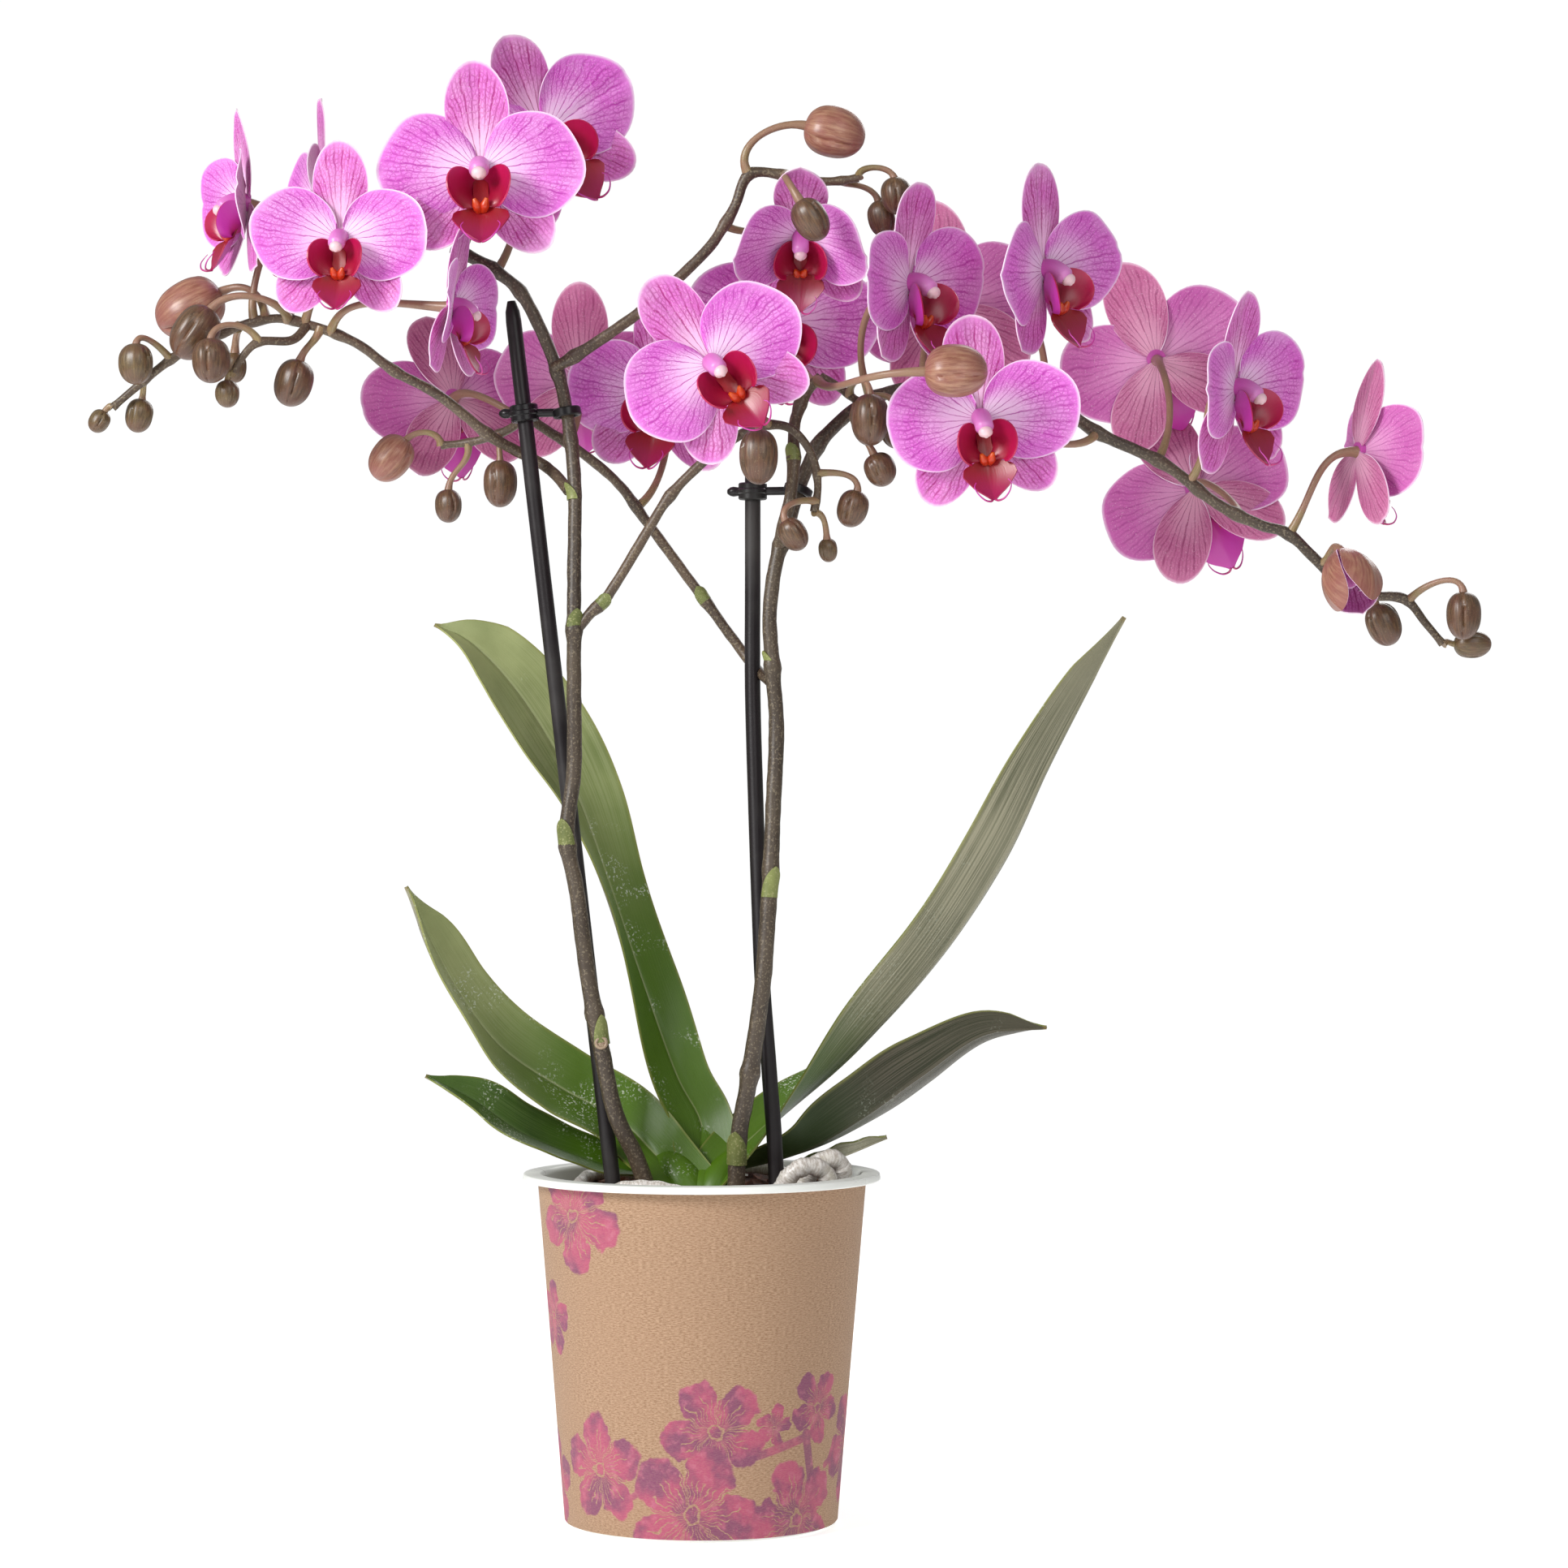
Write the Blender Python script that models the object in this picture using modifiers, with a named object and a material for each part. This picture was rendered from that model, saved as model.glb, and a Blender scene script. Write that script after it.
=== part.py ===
"""Potted moth orchid: two branched flower spikes tied to stakes, in a paper-sleeved cover pot.

Run with:  blender --background --python part.py
Metres, +Z up. The origin is the middle of the cover pot's underside and the plant's front faces -Y.
Tables give places in millimetres, because a plant this small reads best in them; MM turns them into metres.
"""

import math

import bmesh
import bpy
from mathutils import Matrix, Vector

MM = 0.001
GAP = 0.35  # mm of clearance between pieces that touch

# ---- driving sizes, mm -------------------------------------------------------------------
POT_HEIGHT = 103.0
RIM_RADIUS = 52.6
SLEEVE_TOP_RADIUS = 48.4
SLEEVE_BOTTOM_RADIUS = 40.0
SLEEVE_THICKNESS = 0.7
LINER_WALL = 0.9
NURSERY_TOP_RADIUS = 44.2
NURSERY_WALL = 0.7
BARK_EDGE_HEIGHT = 95.0
BARK_CROWN_HEIGHT = 99.0
STAKE_RADIUS = 2.3
STAKE_FOOT_HEIGHT = 14.0
SPIKE_RADIUS = 2.5
BRANCH_RADIUS = 1.6
TWIG_RADIUS = 1.1
LEAF_THICKNESS = 1.3
TEPAL_THICKNESS = 0.9
ROUND_SEGMENTS = 40

# ---- stems, mm: the points that each centre line is drawn through ------------------------
SPIKE_LEFT = [(-15, -8, 96), (-19, -9, 108), (-25, -11, 121), (-29, -13, 140), (-33, -14, 162), (-36, -14, 185),
              (-39, -13, 202), (-37, -12, 221), (-37, -12, 244), (-37, -12, 263), (-37, -10, 282), (-37, -7, 304),
              (-39, -3, 323), (-42, -3, 337), (-47, -4, 350), (-53, -5, 361), (-60, -6, 367), (-67, -6, 371),
              (-73, -6, 374)]
LEFT_ARM = [(-43, 4, 308), (-48, 8, 312), (-56, 7, 316), (-63, 3, 320), (-77, -2, 331), (-90, -5, 338),
            (-101, -7, 346), (-114, -8, 351), (-124, -8, 353), (-134, -8, 351), (-146, -8, 346)]
LEFT_TIP = [(-155, -8, 341), (-165, -8, 333), (-172, -8, 327)]
LEFT_SIDE = [(-119, -15, 346), (-128, -20, 345), (-133, -21, 340), (-135, -21, 336)]
TOP_BRANCH = [(-37, -8, 342), (-29, -9, 347), (-15, -10, 357), (1, -10, 372), (6, -9, 379), (10, -9, 386),
              (14, -9, 395), (23, -9, 395), (31, -9, 393)]
TOP_TIP = [(39, -9, 393), (46, -9, 394)]
CROSS_TO_RIGHT = [(-32, -12, 267), (-27, -12, 272), (-16, -12, 290), (-9, -12, 301), (1, -13, 311), (12, -14, 319)]
SPIKE_RIGHT = [(10, -10, 96), (11, -11, 114), (14, -13, 131), (18, -15, 159), (20, -14, 187), (21, -12, 209),
               (22, -10, 233), (21, -10, 249), (20, -10, 266), (22, -9, 282), (26, -5, 295), (29, -3, 305),
               (34, -2, 316), (39, 0, 322), (46, 2, 328), (54, 3, 332), (64, 3, 334), (80, 3, 334), (95, 1, 333),
               (104, -1, 329), (116, -4, 320), (135, -5, 311), (151, -6, 299), (163, -6, 293), (172, -6, 290),
               (184, -6, 279), (197, -6, 272)]
RIGHT_TIP = [(206, -6, 271), (212, -6, 264), (217, -6, 258)]
CROSS_TO_LEFT = [(16, 3, 250), (12, 8, 256), (1, 9, 271), (-16, 9, 294), (-25, 9, 306), (-37, 9, 316),
                 (-45, 9, 321), (-52, 10, 326)]
UPRIGHT = [(24, -14, 292), (26, -14, 300), (27, -14, 309), (27, -12, 318), (28, -9, 325), (31, -7, 332),
           (35, -7, 336)]
UPRIGHT_TIP = [(40, -9, 333), (46, -14, 328)]
CENTRE_SPRAY = [(18, -19, 321), (26, -20, 320), (32, -19, 313), (34, -18, 304), (33, -18, 296)]

STAKE_LEFT = [(-16, -3, STAKE_FOOT_HEIGHT), (-26, -3, 100), (-41, -1, 230), (-56, 1, 359)]
STAKE_RIGHT = [(25, -5, STAKE_FOOT_HEIGHT), (22, -5, 100), (20, -5, 131), (18, -6, 157), (17, -5, 180),
               (16, -3, 209), (15, -1, 245), (15, 0, 280), (15, 0, 329)]

# ---- flowers: middle mm, facing azimuth (0 is -Y, 90 is +X), elevation, roll of the top sepal, size, foot mm ----
FLOWERS = {
    "flower_left_end": ((-133, -12, 386), -70, 0, 0, 0.86, "left_arm", (-130, -8, 352)),
    "flower_left_front": ((-104, -34, 376), -5, -5, 0, 0.88, "left_arm", (-116, -8, 352)),
    "flower_left_back": ((-116, 18, 387), -78, 0, 5, 0.9, "left_arm", (-120, -8, 353)),
    "flower_left_inner": ((-71, -30, 354), 75, -5, 0, 0.8, "left_arm", (-108, -7, 349)),
    "flower_crown_front": ((-63, -32, 396), 0, 5, -3, 1.05, "spike_left", (-70, -6, 373)),
    "flower_crown_back": ((-51, 4, 408), 35, 0, -20, 1.0, "spike_left", (-60, -6, 367)),
    "flower_low_left_turned": ((-76, 40, 333), -160, -20, 10, 0.92, "cross_branch_left", (-51, 9, 325)),
    "flower_mid_left_turned": ((-37, 36, 338), 175, 5, 0, 0.92, "cross_branch_left", (-40, 9, 318)),
    "flower_centre_left": ((-13, 13, 333), -14, -10, 5, 0.92, "cross_branch_left", (-20, 9, 299)),
    "flower_centre_front": ((4, -36, 337), 5, -5, -38, 0.95, "upright_branch", (29, -8, 329)),
    "flower_centre_back": ((23, 22, 355), 12, -12, 0, 1.0, "upright_branch", (33, -7, 334)),
    "flower_top_hanging": ((29, -8, 377), 0, -35, 0, 0.85, "top_branch", (7, -9, 380)),
    "flower_right_first": ((61, -16, 362), 50, -3, -5, 0.95, "spike_right", (50, 2, 330)),
    "flower_right_turned_first": ((74, 36, 361), 165, 0, 10, 1.0, "spike_right", (66, 3, 334)),
    "flower_right_second": ((100, -16, 366), 50, -5, -12, 0.95, "spike_right", (99, 0, 331)),
    "flower_right_low": ((81, -26, 322), 5, -12, -8, 0.95, "spike_right", (116, -4, 320)),
    "flower_right_turned_second": ((136, 28, 344), 178, 5, 22, 0.98, "spike_right", (134, -5, 312)),
    "flower_right_third": ((155, -22, 331), 52, -5, -8, 0.92, "spike_right", (143, -5, 305)),
    "flower_right_turned_low": ((148, 32, 305), 172, -20, 28, 1.0, "spike_right", (157, -6, 296)),
    "flower_right_end": ((193, -6, 314), 112, -5, -5, 0.86, "spike_right", (172, -6, 290)),
}

# ---- lone buds: middle mm, way that the tip points, length, width, stem, foot mm ------------
BUDS = {
    "bud_left_large": ((-151, 4, 357), (-1, 0, -0.55), 21, 17, "left_arm", (-127, -8, 353)),
    "bud_left_second": ((-147, -17, 348), (-0.7, 0, -1), 17, 13, "left_arm", (-121, -8, 353)),
    "bud_left_small": ((-138, 7, 340), (0, 0, -1), 9, 7, "left_arm", (-136, -8, 350)),
    "bud_left_hanging": ((-119, -10, 334), (-0.3, 0, -1), 14, 11, "left_arm", (-112, -8, 350)),
    "bud_top_large": ((39, -10, 407), (1, 0, -0.25), 18, 15, "top_branch", (14, -9, 396)),
    "bud_top_hanging": ((32, -32, 379), (0.6, 0, -1), 13, 10, "top_branch", (24, -9, 394)),
    "bud_centre_large": ((73, -48, 334), (1, 0, 0), 18, 15, "upright_branch", (34, -8, 336)),
    "bud_right_opening": ((189, -18, 277), (0.7, -0.3, -1), 19, 17, "spike_right", (182, -6, 281)),
}

# ---- sprays: a twig that carries several small buds and grew as one piece ------------------
# each: stem that it leaves, its own twig, then buds as (middle, tip direction, length, width, foot on the twig)
SPRAYS = {
    "spray_left_tip": ("left_arm", LEFT_TIP, [
        ((-164, -16, 339), (0, 0, -1), 12, 10, (-155, -8, 341)),
        ((-165, -3, 325), (-0.2, 0, -1), 10, 8, (-163, -8, 335)),
        ((-176, -8, 323), (-0.6, 0, -1), 7, 6, (-172, -8, 327))]),
    "spray_left_side": ("left_arm", LEFT_SIDE, [
        ((-141, -27, 339), (0, 0, -1), 13, 11, (-128, -20, 345)),
        ((-137, -20, 330), (0, 0, -1), 8, 7, (-135, -21, 336))]),
    "spray_low_left": ("cross_branch_left", [(-58, 14, 322), (-68, 18, 319), (-78, 20, 318)], [
        ((-93, 20, 314), (-0.8, 0, -1), 15, 12, (-78, 20, 318)),
        ((-60, 12, 306), (0, 0, -1), 14, 10, (-61, 15, 321)),
        ((-76, 22, 300), (0, 0, -1), 10, 8, (-70, 18, 319))]),
    "spray_top_tip": ("top_branch", TOP_TIP, [
        ((57, -7, 389), (0.1, 0, -1), 11, 9, (46, -9, 394)),
        ((53, -1, 383), (0.2, 0, -1), 11, 8, (41, -9, 393))]),
    "spray_centre": ("cross_branch_right", CENTRE_SPRAY, [
        ((17, -31, 311), (0, 0, -1), 16, 11, (20, -19, 321)),
        ((44, -16, 297), (-0.3, 0.1, -1), 11, 9, (34, -18, 307)),
        ((27, -25, 289), (0.6, 0.1, -1), 10, 8, (33, -18, 299)),
        ((37, -14, 285), (0.1, 0.2, -1), 7, 5.5, (33, -18, 296))]),
    "spray_upright_tip": ("upright_branch", UPRIGHT_TIP, [
        ((49, -26, 322), (0, 0, -1), 15, 11, (43, -12, 331)),
        ((57, -13, 321), (0.1, 0, -1), 13, 10, (46, -14, 328)),
        ((52, -20, 308), (0.4, 0, -1), 10, 9, (46, -14, 327))]),
    "spray_right_tip": ("spike_right", RIGHT_TIP, [
        ((201, 4, 264), (0.4, 0, -1), 13, 10, (204, -6, 271)),
        ((222, -13, 266), (0, 0, -1), 14, 10, (207, -6, 271)),
        ((226, -4, 258), (1, 0, 0), 11, 8, (217, -6, 258))]),
}

# ---- leaves: midrib point mm, full width mm, way that the upper face looks -----------------
LEAVES = {
    "leaf_left_tall": [((0, 15, 116), 13, (0.1, -1, 0.3)), ((-8, 15, 131), 20, (0.3, -0.9, 0.2)),
                       ((-18, 17, 158), 24, (0.75, -0.6, 0.2)), ((-28, 20, 187), 27, (0.85, -0.5, 0.2)),
                       ((-37, 21, 212), 29, (0.75, -0.65, 0.2)), ((-47, 19, 232), 29, (0.5, -0.85, 0.25)),
                       ((-58, 15, 248), 26, (0.4, -0.85, 0.35)), ((-69, 10, 259), 18, (0.35, -0.8, 0.5)),
                       ((-79, 7, 264), 2, (0.3, -0.8, 0.6))],
    "leaf_left_curled": [((-13, 7, 106), 13, (-0.1, -0.7, 0.7)), ((-24, 11, 117), 24, (-0.1, -0.75, 0.65)),
                         ((-42, 10, 127), 26, (0, -0.8, 0.6)), ((-59, 5, 139), 26, (0.35, -0.7, 0.6)),
                         ((-71, -1, 155), 24, (0.75, -0.5, 0.4)), ((-80, -5, 172), 19, (0.9, -0.4, 0.15)),
                         ((-86, -8, 187), 2, (0.95, -0.3, 0.1))],
    "leaf_left_low": [((-16, 7, 101), 9, (-0.2, -0.3, 0.9)), ((-34, 6, 106), 17, (-0.2, -0.6, 0.8)),
                      ((-52, -2, 114), 20, (-0.2, -0.6, 0.8)), ((-66, -8, 124), 16, (-0.2, -0.6, 0.8)),
                      ((-80, -13, 132), 2, (-0.2, -0.6, 0.8))],
    "leaf_right_long": [((8, 8, 108), 14, (-0.3, -0.6, 0.7)), ((24, 12, 120), 25, (-0.5, -0.2, 0.8)),
                        ((46, 17, 139), 30, (-0.6, 0.35, 0.7)), ((70, 21, 166), 32, (-0.7, 0.45, 0.5)),
                        ((89, 23, 195), 31, (-0.8, 0.5, 0.35)), ((102, 24, 222), 27, (-0.85, 0.5, 0.3)),
                        ((114, 25, 245), 19, (-0.8, 0.5, 0.4)), ((126, 26, 267), 2, (-0.75, 0.5, 0.5))],
    "leaf_right_low": [((10, 2, 104), 10, (-0.2, 0.3, 0.9)), ((30, 13, 109), 22, (-0.3, 0.5, 0.8)),
                       ((48, 15, 119), 28, (-0.35, 0.65, 0.7)), ((65, 16, 131), 25, (-0.3, 0.7, 0.7)),
                       ((83, 14, 143), 15, (-0.1, 0.7, 0.7)), ((102, 11, 145), 2, (0.2, 0.7, 0.8))],
    "leaf_right_small": [((27, 29, 101), 9, (-0.2, 0.2, 0.9)), ((42, 31, 106), 11, (-0.3, 0.2, 0.9)),
                         ((55, 33, 111), 2, (-0.3, 0.2, 0.9))],
}
LEAF_FOLD_DEG = 24  # each half rises this much from the midrib

AERIAL_ROOTS = {
    "aerial_root_left": [(25, -16, 101), (28, -17, 104), (32, -16, 106), (36, -14, 104), (38, -12, 101)],
    "aerial_root_right": [(31, -6, 101), (34, -7, 105), (38, -6, 107), (41, -4, 105), (42, -2, 101)],
}
ROOT_RADIUS = 2.6


# ---- scene and materials -----------------------------------------------------------------
def clear_scene():
    for old in list(bpy.data.objects):
        bpy.data.objects.remove(old, do_unlink=True)


def new_collection(name):
    made = bpy.data.collections.new(name)
    bpy.context.scene.collection.children.link(made)
    return made


def material(name, colour, roughness, metallic=0.0, alpha=1.0):
    made = bpy.data.materials.new(name)
    made.use_nodes = True
    shader = made.node_tree.nodes["Principled BSDF"]
    shader.inputs["Base Color"].default_value = (*colour, 1.0)
    shader.inputs["Roughness"].default_value = roughness
    shader.inputs["Metallic"].default_value = metallic
    shader.inputs["Alpha"].default_value = alpha
    return made


def place(name, mesh, finish, collection, smooth=True):
    """A named object for a finished mesh, in the given collection."""
    made = bpy.data.objects.new(name, mesh)
    collection.objects.link(made)
    mesh.materials.clear()
    mesh.materials.append(finish)
    if smooth:
        mesh.shade_smooth()
        mesh.set_sharp_from_angle(angle=math.radians(40))
    return made


def remove_object(thing):
    bpy.data.objects.remove(thing, do_unlink=True)


# ---- paths -------------------------------------------------------------------------------
def smooth_path(points, step):
    """Points about step mm apart along a Catmull-Rom curve through the given ones."""
    knots = [Vector(p) for p in points]
    knots = [2 * knots[0] - knots[1], *knots, 2 * knots[-1] - knots[-2]]
    path = []
    for a, b, c, d in zip(knots, knots[1:], knots[2:], knots[3:]):
        pieces = max(1, round((c - b).length / step))
        for i in range(pieces):
            t = i / pieces
            path.append(0.5 * (2 * b + (c - a) * t + (2 * a - 5 * b + 4 * c - d) * t * t
                               + (3 * b - a - 3 * c + d) * t ** 3))
    path.append(knots[-2])
    return path


def arched_path(start, leave, end, arrive, pieces=5):
    """A cubic curve from start, leaving along leave, that reaches end travelling along arrive."""
    reach = 0.45 * (end - start).length
    a, b, c, d = start, start + leave * reach, end - arrive * reach, end
    path = []
    for i in range(pieces + 1):
        t = i / pieces
        s = 1 - t
        path.append(a * s ** 3 + b * (3 * s * s * t) + c * (3 * s * t * t) + d * t ** 3)
    return path


def foot_on(path, radius, near, toward):
    """Where a stalk leaves a stem's surface near a point, and the way it leaves, square to the stem."""
    near = Vector(near)
    index = min(range(len(path)), key=lambda i: (path[i] - near).length)
    before, after = path[max(index - 1, 0)], path[min(index + 1, len(path) - 1)]
    along = (after - before).normalized()
    middle = path[index] + along * max(-6.0, min(6.0, (near - path[index]).dot(along)))
    way = Vector(toward) - middle
    way = (way - along * way.dot(along)).normalized()
    return middle + way * (radius + GAP + 0.25), way


# ---- solids ------------------------------------------------------------------------------
def tube_mesh(path, radii, resolution=2):
    """A closed round tube along a path, in metres, with one radius or a radius for each point."""
    data = bpy.data.curves.new("tube", "CURVE")
    data.dimensions = "3D"
    data.bevel_depth = MM
    data.bevel_resolution = resolution
    data.use_fill_caps = True
    spline = data.splines.new("POLY")
    spline.points.add(len(path) - 1)
    if not isinstance(radii, (list, tuple)):
        radii = [radii] * len(path)
    for point, at, radius in zip(spline.points, path, radii):
        point.co = (*(Vector(at) * MM), 1.0)
        point.radius = radius
    return mesh_from_curve(data)


def mesh_from_curve(data):
    """The curve's own solid as a mesh, with its caps welded to its sides."""
    holder = bpy.data.objects.new("curve_holder", data)
    bpy.context.scene.collection.objects.link(holder)
    bpy.context.view_layer.update()
    graph = bpy.context.evaluated_depsgraph_get()
    mesh = bpy.data.meshes.new_from_object(holder.evaluated_get(graph))
    remove_object(holder)
    work = bmesh.new()
    work.from_mesh(mesh)
    bmesh.ops.remove_doubles(work, verts=work.verts, dist=0.00001)
    bmesh.ops.recalc_face_normals(work, faces=work.faces)
    work.to_mesh(mesh)
    work.free()
    return mesh


def plate_mesh(outline, thickness, frame):
    """A flat plate from an outline in mm, placed by a frame whose Z is the plate's normal."""
    data = bpy.data.curves.new("plate", "CURVE")
    data.dimensions = "2D"
    data.fill_mode = "BOTH"
    data.extrude = thickness / 2 * MM
    spline = data.splines.new("POLY")
    spline.points.add(len(outline) - 1)
    spline.use_cyclic_u = True
    for point, (x, y) in zip(spline.points, outline):
        point.co = (x * MM, y * MM, 0.0, 1.0)
    mesh = mesh_from_curve(data)
    mesh.transform(frame)
    return mesh


def frame_of(right, up, normal, origin):
    """The matrix whose axes are three unit directions, at an origin in mm."""
    turned = Matrix((right, up, normal)).transposed().to_4x4()
    turned.translation = Vector(origin) * MM
    return turned


def fuse(name, meshes, finish, collection):
    """One closed body from several overlapping meshes."""
    extras = bpy.data.collections.new("fuse_" + name)
    bpy.context.scene.collection.children.link(extras)
    body = bpy.data.objects.new(name + "_core", meshes[0])
    bpy.context.scene.collection.objects.link(body)
    for mesh in meshes[1:]:
        extras.objects.link(bpy.data.objects.new("extra", mesh))
    union = body.modifiers.new("join", "BOOLEAN")
    union.operation = "UNION"
    union.operand_type = "COLLECTION"
    union.collection = extras
    union.solver = "EXACT"
    bpy.context.view_layer.update()
    graph = bpy.context.evaluated_depsgraph_get()
    joined = bpy.data.meshes.new_from_object(body.evaluated_get(graph))
    for helper in [body, *extras.objects]:
        remove_object(helper)
    bpy.data.collections.remove(extras)
    return place(name, joined, finish, collection)


def turned(name, profile, finish, collection, segments=ROUND_SEGMENTS):
    """A turned solid: a closed profile of (radius, height) in mm, spun round Z by a Screw modifier."""
    mesh = bpy.data.meshes.new(name)
    work = bmesh.new()
    corners = [work.verts.new((radius * MM, 0.0, height * MM)) for radius, height in profile]
    for corner, following in zip(corners, corners[1:] + corners[:1]):
        if corner.co.x > 0 or following.co.x > 0:
            work.edges.new((corner, following))
    work.to_mesh(mesh)
    work.free()
    made = place(name, mesh, finish, collection, smooth=False)
    screw = made.modifiers.new("turn", "SCREW")
    screw.axis = "Z"
    screw.steps = screw.render_steps = segments
    screw.use_merge_vertices = True
    screw.merge_threshold = 0.00001
    screw.use_smooth_shade = True
    return made


def cut(target, cutters):
    for cutter in cutters:
        made = target.modifiers.new("cut_" + cutter.name, "BOOLEAN")
        made.operation = "DIFFERENCE"
        made.object = cutter
        made.solver = "EXACT"


def make_cutter(name, mesh, collection):
    made = bpy.data.objects.new(name, mesh)
    collection.objects.link(made)
    made.hide_render = True
    made.display_type = "WIRE"
    return made


# ---- pot ---------------------------------------------------------------------------------
def sleeve_radius(height):
    """Outer radius of the paper sleeve at a height."""
    return SLEEVE_BOTTOM_RADIUS + (SLEEVE_TOP_RADIUS - SLEEVE_BOTTOM_RADIUS) * height / POT_HEIGHT


def make_paper_sleeve(finish, collection):
    low, high = 1.0, POT_HEIGHT - 2.2
    outer_low, outer_high = sleeve_radius(low), sleeve_radius(high)
    profile = [(outer_high, high), (outer_low, low + 1.4), (outer_low - SLEEVE_THICKNESS / 2, low),
               (outer_low - SLEEVE_THICKNESS, low), (outer_high - SLEEVE_THICKNESS, high)]
    return turned("paper_sleeve", profile, finish, collection)


def make_cover_pot(finish, collection):
    """The white liner: a tapered cup with a flat flange that hides the sleeve's top edge."""
    inset = SLEEVE_THICKNESS + GAP
    under_rim = POT_HEIGHT - 1.6
    foot, neck = sleeve_radius(0) - inset, sleeve_radius(under_rim) - inset
    profile = [(RIM_RADIUS - 1.0, POT_HEIGHT), (RIM_RADIUS, POT_HEIGHT - 0.7), (RIM_RADIUS, under_rim - 0.6),
               (RIM_RADIUS - 1.0, under_rim - 0.6), (RIM_RADIUS - 1.4, under_rim), (neck, under_rim),
               (foot, 1.2), (foot - 1.2, 0.0), (0.0, 0.0), (0.0, 1.0), (foot - LINER_WALL - 0.6, 1.0),
               (foot - LINER_WALL, 1.8), (neck - LINER_WALL, POT_HEIGHT - 0.8), (neck - LINER_WALL + 0.8, POT_HEIGHT)]
    return turned("cover_pot", profile, finish, collection)


def nursery_radius(height):
    """Outer radius of the clear grower's pot at a height: it stands just inside the liner."""
    return NURSERY_TOP_RADIUS - 9.0 * (1 - height / 96.0)


def make_nursery_pot(finish, collection, helpers):
    low, high = 1.35, 96.5
    profile = [(nursery_radius(high) + 0.9, high), (nursery_radius(high) + 0.9, high - 1.6),
               (nursery_radius(high), high - 1.8), (nursery_radius(low), low), (0.0, low), (0.0, low + NURSERY_WALL),
               (nursery_radius(low) - NURSERY_WALL, low + NURSERY_WALL), (nursery_radius(high) - NURSERY_WALL, high)]
    pot = turned("nursery_pot", profile, finish, collection)
    holes = []
    for i in range(6):
        angle = math.tau * i / 6
        work = bmesh.new()
        bmesh.ops.create_cone(work, cap_ends=True, segments=8, radius1=3 * MM, radius2=3 * MM, depth=3 * MM)
        mesh = bpy.data.meshes.new("drain_hole")
        work.to_mesh(mesh)
        work.free()
        mesh.transform(Matrix.Translation(Vector((22 * math.cos(angle), 22 * math.sin(angle), low)) * MM))
        holes.append(make_cutter(f"drain_cutter_{i}", mesh, helpers))
    cut(pot, holes)
    return pot


def make_bark(finish, collection, helpers, passages):
    """The bark plug, with the holes that the stakes, spikes and crown stand in."""
    low = 1.35 + NURSERY_WALL + GAP
    shrink = NURSERY_WALL + GAP + 0.1
    rim = nursery_radius(BARK_EDGE_HEIGHT) - shrink
    profile = [(0.0, BARK_CROWN_HEIGHT), (rim * 0.55, BARK_CROWN_HEIGHT - 0.8), (rim - 1.5, BARK_EDGE_HEIGHT + 0.6),
               (rim, BARK_EDGE_HEIGHT - 1), (nursery_radius(low) - shrink, low), (0.0, low)]
    bark = turned("bark_medium", profile, finish, collection, segments=32)
    cut(bark, [make_cutter(name, mesh, helpers) for name, mesh in passages.items()])
    return bark


# ---- leaves ------------------------------------------------------------------------------
def leaf_mesh(stations, along_pieces, across_pieces):
    """An open strap: a midrib with two halves that rise from it, widest in its outer middle."""
    middles = smooth_path([s[0] for s in stations], 1e9)
    rows = []
    pieces = along_pieces
    for i in range(pieces + 1):
        at = i / pieces * (len(stations) - 1)
        k = min(int(at), len(stations) - 2)
        t = at - k
        p0, p3 = middles[max(k - 1, 0)], middles[min(k + 2, len(middles) - 1)]
        p1, p2 = middles[k], middles[k + 1]
        point = 0.5 * (2 * p1 + (p2 - p0) * t + (2 * p0 - 5 * p1 + 4 * p2 - p3) * t * t
                       + (3 * p1 - p0 - 3 * p2 + p3) * t ** 3)
        heading = (0.5 * ((p2 - p0) + 2 * (2 * p0 - 5 * p1 + 4 * p2 - p3) * t
                          + 3 * (3 * p1 - p0 - 3 * p2 + p3) * t * t)).normalized()
        width = stations[k][1] * (1 - t) + stations[k + 1][1] * t
        face = Vector(stations[k][2]) * (1 - t) + Vector(stations[k + 1][2]) * t
        face = (face - heading * face.dot(heading)).normalized()
        rows.append((point, heading.cross(face), face, width / 2))
    mesh = bpy.data.meshes.new("leaf")
    work = bmesh.new()
    bmesh.ops.create_grid(work, x_segments=across_pieces, y_segments=pieces, size=1.0)
    fold = math.radians(LEAF_FOLD_DEG)
    for vertex in work.verts:
        row = round((vertex.co.y + 1) / 2 * pieces)
        share = vertex.co.x
        point, side, face, half = rows[row]
        out = half * share * math.cos(fold)
        rise = half * abs(share) ** 1.4 * math.sin(fold)
        vertex.co = (point + side * out + face * rise) * MM
    work.to_mesh(mesh)
    work.free()
    return mesh


def make_leaf(name, stations, finish, collection):
    made = place(name, leaf_mesh(stations, 2 * (len(stations) - 1), 4), finish, collection)
    skin = made.modifiers.new("thickness", "SOLIDIFY")
    skin.thickness = LEAF_THICKNESS * MM
    skin.offset = 0.0
    return made


# ---- flowers -----------------------------------------------------------------------------
def tepal_outline(length, width, base, blunt):
    """Half-outline shares along a petal or sepal, mirrored into a closed outline."""
    inner = 0.07 * length
    side = [(inner, base / 2)]
    for share in (0.28, 0.58, 0.88):
        swell = math.sin(math.pi * share ** blunt) ** 0.75
        side.append((length * share, width / 2 * swell))
    mirrored = [(x, -y) for x, y in reversed(side)]
    return side + [(length, 0.0)] + mirrored


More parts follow.
